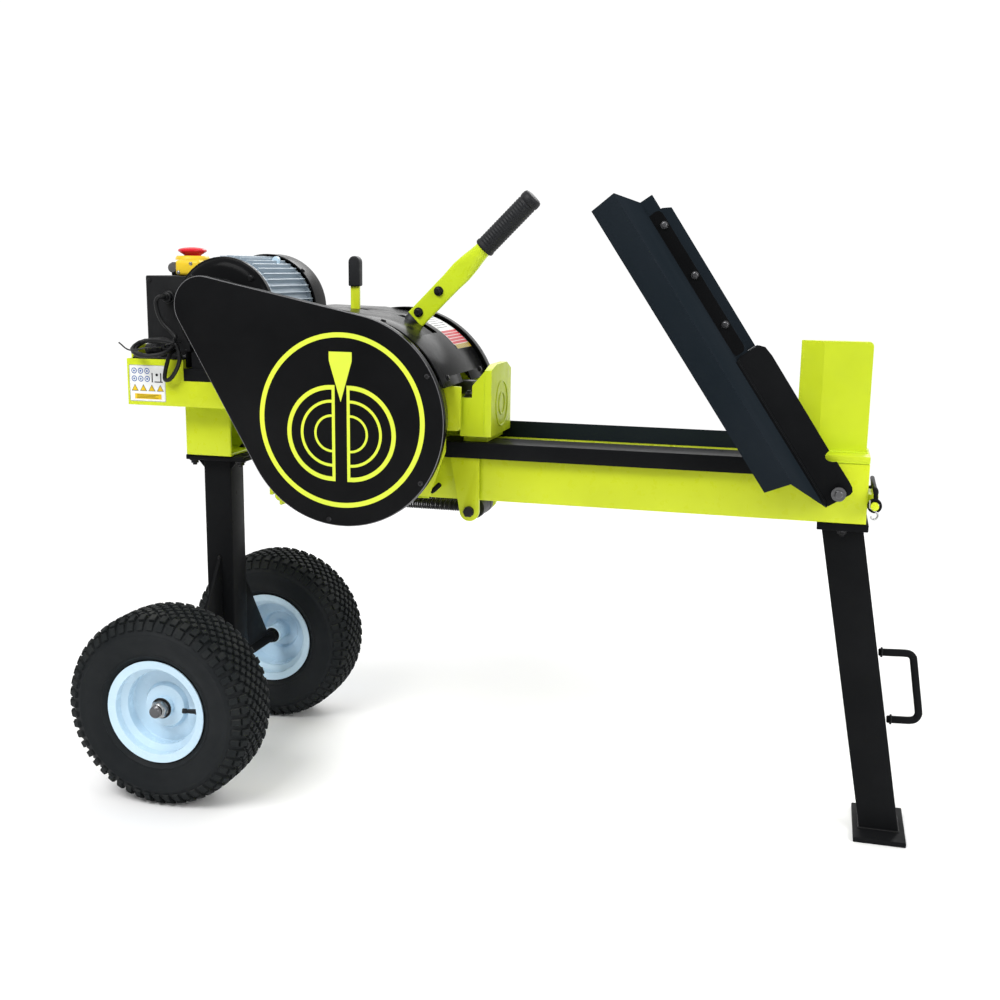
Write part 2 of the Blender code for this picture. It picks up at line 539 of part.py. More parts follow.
def build_leg():
    """The leaning front leg with its foot and its carrying handle."""
    outer_low = (1.1245, 1.1855)
    outer_high = (1.0350, 1.0980)
    wall = 0.003
    corners = []
    for z, (left, right) in ((LEG_BOTTOM, outer_low), (LEG_TOP + 0.002, outer_high)):
        corners += [(left, -0.030, z), (right, -0.030, z), (right, 0.030, z), (left, 0.030, z)]
    leg = body("front_leg", "black_paint", corners, [(3, 2, 1, 0), (4, 5, 6, 7), (0, 1, 5, 4), (1, 2, 6, 5),
                                                     (2, 3, 7, 6), (3, 0, 4, 7)])
    join(leg, box("plate", "black_paint", (1.0280, 1.1050), (-0.050, 0.050), (LEG_TOP, BEAM_BOTTOM - 0.0003)))
    slope = (outer_high[0] - outer_low[0]) / (LEG_TOP + 0.002 - LEG_BOTTOM)
    corners = []
    for z in (LEG_BOTTOM - 0.01, LEG_TOP - 0.003):
        left = outer_low[0] + slope * (z - LEG_BOTTOM) + wall
        right = outer_low[1] + slope * (z - LEG_BOTTOM) - wall
        corners += [(left, -0.027, z), (right, -0.027, z), (right, 0.027, z), (left, 0.027, z)]
    hollow = body("hollow", "black_paint", corners, [(3, 2, 1, 0), (4, 5, 6, 7), (0, 1, 5, 4), (1, 2, 6, 5),
                                                     (2, 3, 7, 6), (3, 0, 4, 7)])
    finish(cut(leg, hollow))
    finish(box("foot_pad", "black_paint", (1.1148, 1.1955), (-0.067, 0.067), (0.0, 0.0082)))
    path = [(1.1358, 0.0, 0.2962), (1.1780, 0.0, 0.2982), (1.1850, 0.0, 0.2965), (1.1893, 0.0, 0.2910)]
    path += [(1.2035, 0.0, 0.2030), (1.2020, 0.0, 0.1950), (1.1960, 0.0, 0.1895), (1.1880, 0.0, 0.1872)]
    path += [(1.1558, 0.0, 0.1858)]
    finish(bar("leg_handle", "black_paint", path, 0.0060, 12))


def build_ram():
    """The ram with its rack, the yoke below the beam and the two return springs."""
    axis = (RAM_FACE, 0.0, 0.6700)
    side = [(RAM_BACK, RAM_BOTTOM), (0.4990, RAM_BOTTOM), (0.4990, 0.7250), (0.4775, 0.7000), (0.4775, 0.6804)]
    side += [(RAM_BACK, 0.6804)]
    ram = prism_y("ram_block", "lime_paint", side, -0.0640, 0.0610)
    face = [(-0.0645, RAM_BOTTOM), (0.0620, RAM_BOTTOM), (0.0620, 0.7215), (0.0330, RAM_TOP)]
    face += [(-0.0340, RAM_TOP), (-0.0645, 0.7255)]
    join(ram, prism_x("face", "lime_paint", face, 0.4985, RAM_FACE))
    join(ram, box("shoe", "lime_paint", (0.4600, 0.5000), (-0.0500, 0.0500), (0.6081, 0.6190)))
    finish(ram, axis)
    top = 0.7030
    root = 0.6870
    tip = 0.6785
    start = -0.1200
    teeth = [(0.4640, 0.6808), (0.4640, top), (start, top), (start, root)]
    x = start + 0.002
    while x < 0.325:
        teeth += [(x, root), (x + 0.0026, tip), (x + 0.0052, tip), (x + 0.0078, root)]
        x += TOOTH_PITCH
    teeth += [(0.440, root), (0.446, 0.6808)]
    finish(prism_y("ram_rack", "dark_steel", teeth, -0.012, 0.012), axis)
    axle_x, axle_z = ROLLER_AXIS
    yoke = rod_y("ram_yoke", "lime_paint", axle_x, axle_z, 0.0050, -0.0655, 0.0655, 16)
    for sign, top in ((-1.0, 0.6000), (1.0, RAM_BOTTOM - 0.0003)):
        arm = [(0.4370, top), (0.4895, top), (0.4895, axle_z)]
        arm += arc(ROLLER_AXIS, 0.0165, -15.0, -165.0, 8)
        near = sign * 0.0535
        far = sign * 0.0595
        join(yoke, prism_y("arm", "lime_paint", arm, min(near, far), max(near, far)))
        join(yoke, rod_y("head", "lime_paint", axle_x, axle_z, 0.0085, sign * 0.0580, sign * 0.0650, 6))
    finish(yoke, axis)
    tube = [(0.0053, -ROLLER_HALF), (0.0176, -ROLLER_HALF), (0.0176, ROLLER_HALF), (0.0053, ROLLER_HALF)]
    finish(lathe("ram_roller", "black_plastic", tube, 28, (axle_x, 0.0, axle_z)), (axle_x, 0.0, axle_z))
    for name, y in (("near", -0.0260), ("far", 0.0260)):
        coil = [(0.0, 0.1367), (0.0070, 0.1367), (0.0100, 0.1430), (0.0100, 0.4480), (0.0070, 0.4540), (0.0, 0.4540)]
        spring = lathe("return_spring_" + name, "dark_steel", coil, 14, (0.0, y, 0.4945), (1.0, 0.0, 0.0))
        finish(spring, axis)


def build_levers():
    """The drive lever with its cam, and the guard lever beside it."""
    along = Vector((math.cos(LEVER_ANGLE), 0.0, math.sin(LEVER_ANGLE)))
    across = Vector((-math.sin(LEVER_ANGLE), 0.0, math.cos(LEVER_ANGLE)))
    foot = Vector((LEVER_FOOT[0], 0.0, LEVER_FOOT[1]))
    steps = 20
    rows = ((0.0, 0.0168, 0.0040, 6.0), (0.088, 0.0172, 0.0040, 6.0), (0.112, 0.0185, 0.0055, 4.0),
            (0.136, 0.0165, 0.0100, 2.6), (0.160, 0.0135, 0.0135, 2.0), (0.262, 0.0135, 0.0135, 2.0))
    corners = []
    for distance, half_width, half_depth, power in rows:
        for step in range(steps):
            angle = 2.0 * math.pi * step / steps
            cosine = math.cos(angle)
            sine = math.sin(angle)
            wide = half_width * math.copysign(abs(cosine) ** (2.0 / power), cosine)
            deep = half_depth * math.copysign(abs(sine) ** (2.0 / power), sine)
            corners.append(foot + along * distance + across * wide + Vector((0.0, deep, 0.0)))
    faces = [tuple(range(steps))]
    for row in range(len(rows) - 1):
        base = row * steps
        for step in range(steps):
            following = (step + 1) % steps
            faces.append((base + step, base + following, base + steps + following, base + steps + step))
    last = (len(rows) - 1) * steps
    faces.append(tuple(range(last + steps - 1, last - 1, -1)))
    axis = (LEVER_PIVOT[0], 0.0, LEVER_PIVOT[1])
    finish(body("main_lever", "lime_paint", corners, faces), axis)
    grip = [(0.0139, 0.165), (0.0160, 0.165), (0.0172, 0.170), (0.0165, 0.178), (0.0165, 0.266)]
    grip += [(0.0172, 0.274), (0.0150, 0.2805), (0.0, 0.2820), (0.0, 0.2640), (0.0139, 0.2640)]
    finish(lathe("lever_grip", "grip_rubber", grip, 20, foot, along), axis)
    pivot = Vector(axis)
    cam_path = [pivot + across * 0.0145 - along * 0.006, foot + along * 0.078 + across * 0.0145]
    cam_path += [foot + along * 0.078 - across * 0.0145, pivot - across * 0.0145 + along * 0.016]
    cam_path += [Vector((0.3640, 0.0, 0.7190)), Vector((0.3560, 0.0, 0.7138)), Vector((0.3460, 0.0, 0.7145))]
    cam_path += [Vector((0.3080, 0.0, 0.7620))]
    cam = prism_y("lever_cam", "dark_steel", [(spot.x, spot.z) for spot in cam_path], 0.0043, 0.0103)
    join(cam, rod_y("pin", "dark_steel", LEVER_PIVOT[0], LEVER_PIVOT[1], 0.0080, -0.0840, 0.0840, 20))
    finish(cam, axis)

    axis = (GUARD_PIVOT[0], 0.0, GUARD_PIVOT[1])
    guard = box("guard_lever", "lime_paint", (0.2456, 0.2608), (-0.0030, 0.0030), (0.7600, 0.8700))
    finish(join(guard, rod_y("pin", "lime_paint", axis[0], axis[2], 0.0060, -0.0840, 0.0840, 16)), axis)
    side = [(0.2434, 0.8540), (0.2634, 0.8540), (0.2634, 0.8935)]
    side += arc((0.2534, 0.8935), 0.0100, 0.0, 180.0, 10)[1:]
    cap = prism_y("guard_lever_cap", "grip_rubber", side, -0.0080, 0.0080)
    finish(cut(cap, box("pocket", "grip_rubber", (0.2453, 0.2611), (-0.0033, 0.0033), (0.8500, 0.8705))), axis)


def build_switch():
    """The switch box with its stop button, and the loose lead that leaves it."""
    wall = [(-0.1140, 0.7290), (-0.0340, 0.7290), (-0.0340, 0.8300), (-0.0170, 0.8660), (-0.1140, 0.8660)]
    case = prism_y("switch_box", "black_plastic", wall, -0.0450, 0.0450)
    join(case, box("flange", "black_plastic", (-0.1200, -0.0240), (-0.0885, 0.0885), (0.7268, 0.7300)))
    room = [(-0.1110, 0.7200), (-0.0370, 0.7200), (-0.0370, 0.8310), (-0.0215, 0.8630), (-0.1110, 0.8630)]
    cut(case, prism_y("hollow", "black_plastic", room, -0.0420, 0.0420))
    finish(case)
    base = box("switch_base", "switch_yellow", (-0.0630, -0.0270), (-0.0350, 0.0350), (0.8663, 0.8930))
    well = [(0.0, 0.0), (0.0118, 0.0), (0.0118, 0.020), (0.0, 0.020)]
    cut(base, lathe("well", "switch_yellow", well, 20, (-0.0480, 0.0, 0.8830), (0.0, 0.0, 1.0)))
    finish(base)
    knob = [(0.0, 0.0005), (0.0112, 0.0005), (0.0112, 0.0060), (0.0200, 0.0065), (0.0243, 0.0100), (0.0245, 0.0160)]
    knob += [(0.0225, 0.0200), (0.0120, 0.0220), (0.0, 0.0222)]
    knob = [(radius, height + (0.0 if height > 0.004 else -0.0045)) for radius, height in knob]
    place = (-0.0480, 0.0, 0.8925)
    finish(lathe("stop_button", "stop_red", knob, 28, place, (0.0, 0.0, 1.0)), place)
    gland = [(0.0, 0.0), (0.0105, 0.0), (0.0105, 0.006), (0.0080, 0.008), (0.0080, 0.0170), (0.0055, 0.0190)]
    gland += [(0.0, 0.0190)]
    finish(lathe("cable_gland", "black_plastic", gland, 20, (-0.0690, -0.0453, 0.8300), (0.0, -1.0, 0.0)))

    knots = [(-0.0690, -0.0648, 0.8300), (-0.0692, -0.0690, 0.8301), (-0.0730, -0.0725, 0.8312)]
    knots += [(-0.0780, -0.0730, 0.8270)]
    knots += [(-0.0800, -0.0730, 0.8190), (-0.0770, -0.0730, 0.8040), (-0.0690, -0.0730, 0.7880)]
    knots += [(-0.0540, -0.0740, 0.7740), (-0.0400, -0.0820, 0.7640)]
    for turn in range(11):
        angle = math.radians(40.0 - 63.0 * turn)
        reach = 0.0330 + 0.0004 * turn
        rise = 0.0130 * math.sin(angle)
        lay = -0.0985 - 0.0100 * (turn / 10.0) + 0.0240 * math.sin(angle)
        knots.append((-0.0690 + reach * math.cos(angle), lay, 0.7475 + rise))
    knots += [(-0.0360, -0.1010, 0.7560), (-0.0250, -0.1030, 0.7460), (-0.0215, -0.1040, 0.7300)]
    knots += [(-0.0280, -0.1040, 0.7120), (-0.0400, -0.1040, 0.6960), (-0.0500, -0.1035, 0.6935)]
    knots += [(-0.0510, -0.1030, 0.7030), (-0.0470, -0.1020, 0.7200), (-0.0420, -0.0990, 0.7370)]
    knots += [(-0.0400, -0.0900, 0.7420), (-0.0470, -0.0740, 0.7412), (-0.0620, -0.0640, 0.7411)]
    knots += [(-0.0760, -0.0622, 0.7411)]
    route = smooth_route(knots, 3)
    curve = bpy.data.curves.new("power_cord", "CURVE")
    curve.dimensions = "3D"
    curve.bevel_depth = 0.0036
    curve.bevel_resolution = 2
    curve.resolution_u = 1
    curve.render_resolution_u = 0
    curve.use_fill_caps = True
    line = curve.splines.new("POLY")
    line.points.add(len(route) - 1)
    for point, spot in zip(line.points, route):
        point.co = (spot[0], spot[1], spot[2], 1.0)
    cord = bpy.data.objects.new("power_cord", curve)
    bpy.context.scene.collection.objects.link(cord)
    curve.materials.append(material_for("power_cord", "black_plastic"))
    end = Vector(route[-1])
    heading = (end - Vector(route[-2])).normalized()
    plug = [(0.0, 0.0003), (0.0060, 0.0003), (0.0105, 0.0080), (0.0105, 0.0300), (0.0, 0.0300)]
    finish(lathe("cord_plug", "black_plastic", plug, 16, end, heading))


def smooth_route(knots, steps):
    """Points on a smooth line through every knot."""
    points = [Vector(knot) for knot in knots]
    padded = [points[0] * 2.0 - points[1]] + points + [points[-1] * 2.0 - points[-2]]
    route = []
    for index in range(1, len(padded) - 2):
        first, second, third, fourth = padded[index - 1:index + 3]
        for step in range(steps):
            t = step / steps
            spot = second * 2.0 + (third - first) * t
            spot += (first * 2.0 - second * 5.0 + third * 4.0 - fourth) * t * t
            spot += (second * 3.0 - first - third * 3.0 + fourth) * t * t * t
            route.append(spot * 0.5)
    route.append(points[-1])
    return route


def build_tray():
    """The folding log tray on the near side of the beam."""
    axis = (TRAY_PIVOT[0], -0.0740, TRAY_PIVOT[1])
    thick = 0.00125
    inner = TRAY_INNER
    outer = TRAY_OUTER
    section = [(inner + 0.0015, 0.0220, 0.030), (inner + 0.0015, -thick, 0.0), (outer, -thick, 0.089)]
    section += [(outer + 0.0235, -0.0380, 0.094), (outer + 0.0210, -0.0395, 0.094)]
    section += [(outer - 0.0028, thick, 0.089), (inner - 0.0015, thick, 0.0), (inner - 0.0015, 0.0220, 0.030)]
    count = len(section)
    corners = [tray_point(start, normal, y) for y, normal, start in section]
    corners += [tray_point(TRAY_LENGTH, normal, y) for y, normal, start in section]
    faces = [tuple(range(count)), tuple(range(2 * count - 1, count - 1, -1))]
    faces += [(i, (i + 1) % count, count + (i + 1) % count, count + i) for i in range(count)]
    sheet = body("tray_sheet", "slate_paint", corners, faces)
    strip = [(0.2650, 0.0030), (0.5120, 0.0030), (0.5150, 0.0240), (0.5080, 0.0365), (0.2650, 0.0350)]
    finish(join(sheet, tray_plate("strip", "slate_paint", strip, -0.0727, -0.0707)), axis)
    plate = [(0.0010, 0.0030), (0.2600, 0.0018), (0.2635, 0.0080), (0.2635, 0.0400), (0.2560, 0.0470)]
    plate += [(0.2400, 0.0490), (0.0735, 0.0475), (0.0720, 0.0420), (0.0700, 0.0388), (0.0670, 0.0372)]
    plate += [(0.0640, 0.0368), (0.0600, 0.0385), (0.0560, 0.0430), (0.0530, 0.0485), (0.0180, 0.0488)]
    plate += [(0.0080, 0.0480), (0.0020, 0.0450), (0.0000, 0.0400)]
    bracket = tray_plate("tray_bracket", "black_paint", plate, -0.0795, -0.0758)
    lip = [(0.0100, 0.0018), (0.2600, 0.0018), (0.2600, 0.0048), (0.0100, 0.0048)]
    join(bracket, tray_plate("lip", "black_paint", lip, -0.1090, -0.0780))
    hole = rod_y("hole", "black_paint", TRAY_PIVOT[0], TRAY_PIVOT[1], 0.0063, -0.10, -0.05, 20)
    finish(cut(bracket, hole), axis)
    pin = [(0.0, -0.0925), (0.0060, -0.0925), (0.0060, -0.0898), (0.0105, -0.0898), (0.0105, -0.0800)]
    pin += [(0.0060, -0.0800), (0.0060, -0.0720), (0.0120, -0.0720), (0.0120, -0.0503), (0.0, -0.0503)]
    finish(lathe("tray_pivot", "bright_zinc", pin, 24, (TRAY_PIVOT[0], 0.0, TRAY_PIVOT[1])))


def main():
    """Build the whole machine."""
    clear_scene()
    build_wheels()
    build_undercarriage()
    build_platform()
    build_housing()
    build_belt_drive()
    build_flywheels()
    build_beam()
    build_leg()
    build_ram()
    build_levers()
    build_switch()
    build_tray()


main()
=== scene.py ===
"""Looks of the kinetic log splitter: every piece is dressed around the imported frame.

Each sub-assembly is a class. It holds its sizes in metres, builds its meshes and
gives them their finishes. X runs along the splitting beam, Z is up.
"""

from __future__ import annotations

import json
import logging
import math
from dataclasses import dataclass
from enum import Enum
from typing import Any, Iterable, Sequence

import bmesh
import bpy
from mathutils import Matrix, Vector
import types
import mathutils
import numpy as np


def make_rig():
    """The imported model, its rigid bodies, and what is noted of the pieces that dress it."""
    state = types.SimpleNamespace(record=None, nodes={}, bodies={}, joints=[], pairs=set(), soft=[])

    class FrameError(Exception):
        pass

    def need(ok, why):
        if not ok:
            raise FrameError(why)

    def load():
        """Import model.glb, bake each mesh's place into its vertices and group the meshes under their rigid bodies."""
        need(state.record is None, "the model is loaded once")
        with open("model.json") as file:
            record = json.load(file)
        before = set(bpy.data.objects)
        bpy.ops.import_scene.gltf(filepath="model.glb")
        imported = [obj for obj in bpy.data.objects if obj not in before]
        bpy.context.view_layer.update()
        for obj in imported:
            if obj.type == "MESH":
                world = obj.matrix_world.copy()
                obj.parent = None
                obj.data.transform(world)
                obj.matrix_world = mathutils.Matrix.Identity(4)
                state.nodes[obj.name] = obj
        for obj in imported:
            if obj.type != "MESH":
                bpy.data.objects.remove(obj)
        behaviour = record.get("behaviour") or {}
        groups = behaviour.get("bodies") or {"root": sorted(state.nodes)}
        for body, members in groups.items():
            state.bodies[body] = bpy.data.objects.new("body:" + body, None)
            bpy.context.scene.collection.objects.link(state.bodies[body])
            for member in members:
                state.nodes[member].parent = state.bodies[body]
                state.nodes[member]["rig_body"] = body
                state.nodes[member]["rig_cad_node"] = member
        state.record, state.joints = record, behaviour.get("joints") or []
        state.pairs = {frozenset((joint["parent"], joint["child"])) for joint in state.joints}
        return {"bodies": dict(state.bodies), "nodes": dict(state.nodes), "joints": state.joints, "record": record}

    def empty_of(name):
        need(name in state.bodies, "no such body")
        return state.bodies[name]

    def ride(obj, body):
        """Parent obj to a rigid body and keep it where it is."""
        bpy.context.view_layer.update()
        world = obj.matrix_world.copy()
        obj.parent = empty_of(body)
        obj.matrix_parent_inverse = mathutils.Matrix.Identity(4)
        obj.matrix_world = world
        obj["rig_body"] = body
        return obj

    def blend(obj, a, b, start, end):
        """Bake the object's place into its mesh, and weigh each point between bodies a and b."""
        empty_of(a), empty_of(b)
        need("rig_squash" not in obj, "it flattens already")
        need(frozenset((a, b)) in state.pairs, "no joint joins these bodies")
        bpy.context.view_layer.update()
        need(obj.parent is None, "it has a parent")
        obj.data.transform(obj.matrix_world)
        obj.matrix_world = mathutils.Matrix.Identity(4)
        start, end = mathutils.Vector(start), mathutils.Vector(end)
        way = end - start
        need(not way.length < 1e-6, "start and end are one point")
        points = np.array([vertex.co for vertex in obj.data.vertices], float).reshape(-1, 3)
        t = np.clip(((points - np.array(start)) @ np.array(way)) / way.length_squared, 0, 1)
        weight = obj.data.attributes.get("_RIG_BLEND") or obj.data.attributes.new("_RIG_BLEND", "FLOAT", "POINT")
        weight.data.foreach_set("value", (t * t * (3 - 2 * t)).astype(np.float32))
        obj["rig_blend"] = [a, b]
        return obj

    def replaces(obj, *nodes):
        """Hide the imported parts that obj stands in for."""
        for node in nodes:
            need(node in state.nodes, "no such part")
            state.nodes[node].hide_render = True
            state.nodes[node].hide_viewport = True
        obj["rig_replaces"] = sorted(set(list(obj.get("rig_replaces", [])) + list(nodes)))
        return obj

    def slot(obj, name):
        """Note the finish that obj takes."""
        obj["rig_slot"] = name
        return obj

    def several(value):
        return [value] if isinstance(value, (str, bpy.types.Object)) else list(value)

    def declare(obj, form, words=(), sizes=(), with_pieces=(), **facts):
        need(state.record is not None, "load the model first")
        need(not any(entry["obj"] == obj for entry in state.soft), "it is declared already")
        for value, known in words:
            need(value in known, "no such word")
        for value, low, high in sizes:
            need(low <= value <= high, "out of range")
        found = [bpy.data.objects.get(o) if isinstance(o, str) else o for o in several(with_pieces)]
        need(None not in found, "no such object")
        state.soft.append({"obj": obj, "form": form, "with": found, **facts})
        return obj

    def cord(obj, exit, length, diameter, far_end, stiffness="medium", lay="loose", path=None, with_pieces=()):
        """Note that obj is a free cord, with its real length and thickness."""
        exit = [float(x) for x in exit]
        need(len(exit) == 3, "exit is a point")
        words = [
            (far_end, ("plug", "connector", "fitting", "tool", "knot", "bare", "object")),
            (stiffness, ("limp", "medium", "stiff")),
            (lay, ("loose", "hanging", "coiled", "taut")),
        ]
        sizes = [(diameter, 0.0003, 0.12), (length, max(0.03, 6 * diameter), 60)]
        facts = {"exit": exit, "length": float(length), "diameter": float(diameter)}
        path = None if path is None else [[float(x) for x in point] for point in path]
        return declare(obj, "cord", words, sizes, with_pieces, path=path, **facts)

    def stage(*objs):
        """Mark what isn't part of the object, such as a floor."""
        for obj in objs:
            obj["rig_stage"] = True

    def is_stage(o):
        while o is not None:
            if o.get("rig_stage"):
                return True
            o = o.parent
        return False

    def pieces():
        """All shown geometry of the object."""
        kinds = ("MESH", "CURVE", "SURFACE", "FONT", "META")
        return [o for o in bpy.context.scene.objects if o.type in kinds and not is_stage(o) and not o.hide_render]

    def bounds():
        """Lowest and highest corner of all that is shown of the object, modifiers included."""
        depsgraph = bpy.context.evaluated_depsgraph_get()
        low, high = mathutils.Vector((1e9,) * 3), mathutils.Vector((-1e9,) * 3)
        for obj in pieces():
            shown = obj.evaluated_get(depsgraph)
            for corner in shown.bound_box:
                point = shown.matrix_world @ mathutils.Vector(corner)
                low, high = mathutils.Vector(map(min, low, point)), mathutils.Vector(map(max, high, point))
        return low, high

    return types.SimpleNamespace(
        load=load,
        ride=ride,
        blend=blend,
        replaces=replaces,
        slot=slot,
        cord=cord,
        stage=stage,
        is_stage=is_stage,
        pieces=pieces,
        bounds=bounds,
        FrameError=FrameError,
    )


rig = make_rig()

LOG = logging.getLogger("log_splitter")
SIZE_FILE = "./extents.json"
Point = Sequence[float]
Colour = tuple[float, float, float]

DRIVE_AXIS = (0.2975, 0.6486)
MOTOR_AXIS = (0.060, 0.812)
HUB_HEIGHT = 0.165
WHEEL_OFFSET = 0.213
HOOD_RADIUS = 0.162
ROLLER_AXIS = (0.4730, 0.4925)
HITCH_AXIS = (1.1105, 0.5430)
TRAY_ANGLE = math.radians(56.14)
TRAY_BASE = (1.0404, 0.5388)
TRAY_PIVOT = (1.0566, 0.5622)
TRAY_LIP = -0.0740
LEVER_FOOT = (0.3598, 0.8012)
LEVER_ANGLE = math.radians(45.0)


class Side(Enum):
    """Which side of the beam a piece is on."""

    NEAR = -1.0
    FAR = 1.0

    @property
    def word(self) -> str:
        """The side's name in a piece name."""
        return self.name.lower()


class Grain(Enum):
    """What the fine relief of a finish looks like."""

    ORANGE_PEEL = 0
    MOULDED = 1
    CAST = 2
    TURNED = 3
    PLAIN = 4


class ShaderBench:
    """A material's node tree, put together one node at a time."""

    def __init__(self, name: str) -> None:
        """Start a material with a Principled shader.

        Args:
            name: The material's name.
        """
        self.material = bpy.data.materials.new(name)
        self.material.use_nodes = True
        self.tree = self.material.node_tree
        self.shader = self.tree.nodes["Principled BSDF"]
        self.coords = self.tree.nodes.new("ShaderNodeTexCoord").outputs["Object"]

    def add(self, kind: str, feeds: dict[Any, Any] | None = None, **settings: Any) -> bpy.types.Node:
        """Add one node and feed its sockets.

        Args:
            kind: Blender's name for the node.
            feeds: Values or sockets, by input name or number.
            **settings: Properties of the node itself.

        Returns:
            The new node.
        """
        node = self.tree.nodes.new(kind)
        for key, value in settings.items():
            setattr(node, key, value)
        for key, value in (feeds or {}).items():
            feed(self.tree, node.inputs[key], value)
        return node

    def noise(self, scale: float, detail: float = 3.0, stretch: Point = (1.0, 1.0, 1.0)) -> bpy.types.NodeSocket:
        """Noise on the piece's own coordinates.

        Args:
            scale: How fine the noise is, per metre.
            detail: How many octaves it has.
            stretch: A scale for each axis.

        Returns:
            The socket of the noise value.
        """
        place = self.add("ShaderNodeMapping", {"Vector": self.coords, "Scale": tuple(stretch)})
        return self.add(
            "ShaderNodeTexNoise",
            {"Vector": place.outputs[0], "Scale": scale, "Detail": detail, "Roughness": 0.6},
        ).outputs["Fac"]

    def span(self, value: Any, low: float, high: float, to_low: float, to_high: float) -> bpy.types.NodeSocket:
        """Remap a value from one range to another, clamped.

        Args:
            value: The socket to remap.
            low: Where the old range starts.
            high: Where the old range ends.
            to_low: Where the new range starts.
            to_high: Where the new range ends.

        Returns:
            The remapped socket.
        """
        feeds = {"Value": value, "From Min": low, "From Max": high, "To Min": to_low, "To Max": to_high}
        return self.add("ShaderNodeMapRange", feeds).outputs["Result"]

    def sum_of(self, operation: str, one: Any, two: Any) -> bpy.types.NodeSocket:
        """One step of arithmetic.

        Args:
            operation: The Math node's operation.
            one: The first value or socket.
            two: The second value or socket.

        Returns:
            The result's socket.
        """
        return self.add("ShaderNodeMath", {0: one, 1: two}, operation=operation).outputs[0]

    def blend(self, share: Any, one: Any, two: Any) -> bpy.types.NodeSocket:
        """Mix two colours.

        Args:
            share: How much of the second colour shows.
            one: The first colour.
            two: The second colour.

        Returns:
            The mixed colour's socket.
        """
        feeds = {0: share, 6: opaque(one), 7: opaque(two)}
        return self.add("ShaderNodeMix", feeds, data_type="RGBA").outputs[2]

    def edges(self, radius: float, low: float, high: float) -> bpy.types.NodeSocket:
        """A mask that is 1 on sharp edges and 0 on flat ground.

        Args:
            radius: How far from the edge the mask reaches, in metres.
            low: The difference where the mask starts.
            high: The difference where it is full.

        Returns:
            The mask's socket.
        """
        rounded = self.add("ShaderNodeBevel", {"Radius": radius}, samples=4).outputs[0]
        true = self.add("ShaderNodeNewGeometry").outputs["Normal"]
        likeness = self.add("ShaderNodeVectorMath", {0: rounded, 1: true}, operation="DOT_PRODUCT").outputs["Value"]
        return self.span(likeness, 1.0 - low, 1.0 - high, 0.0, 1.0)

    def relief(self, height: Any, strength: float, distance: float, under: Any = None) -> bpy.types.NodeSocket:
        """Turn a height into a normal.

        Args:
            height: The height's socket.
            strength: How strong the bump is.
            distance: Its depth in metres.
            under: A normal that this bump lies on.

        Returns:
            The normal's socket.
        """
        feeds = {"Height": height, "Strength": strength, "Distance": distance}
        if under is not None:
            feeds["Normal"] = under
        return self.add("ShaderNodeBump", feeds).outputs[0]

    def give(self, **sockets: Any) -> None:
        """Feed the shader; an underscore in a name stands for a space."""
        for key, value in sockets.items():
            feed(self.tree, self.shader.inputs[key.replace("_", " ")], value)


def opaque(colour: Any) -> Any:
    """A colour with its alpha, or the socket as it is."""
    if isinstance(colour, bpy.types.NodeSocket):
        return colour
    return (colour[0], colour[1], colour[2], 1.0)


def feed(tree: bpy.types.NodeTree, socket: bpy.types.NodeSocket, value: Any) -> None:
    """Link a socket, or set its value.

    Args:
        tree: The tree that both belong to.
        socket: The input.
        value: A value, or an output to link.
    """
    if isinstance(value, bpy.types.NodeSocket):
        tree.links.new(value, socket)
    else:
        socket.default_value = value


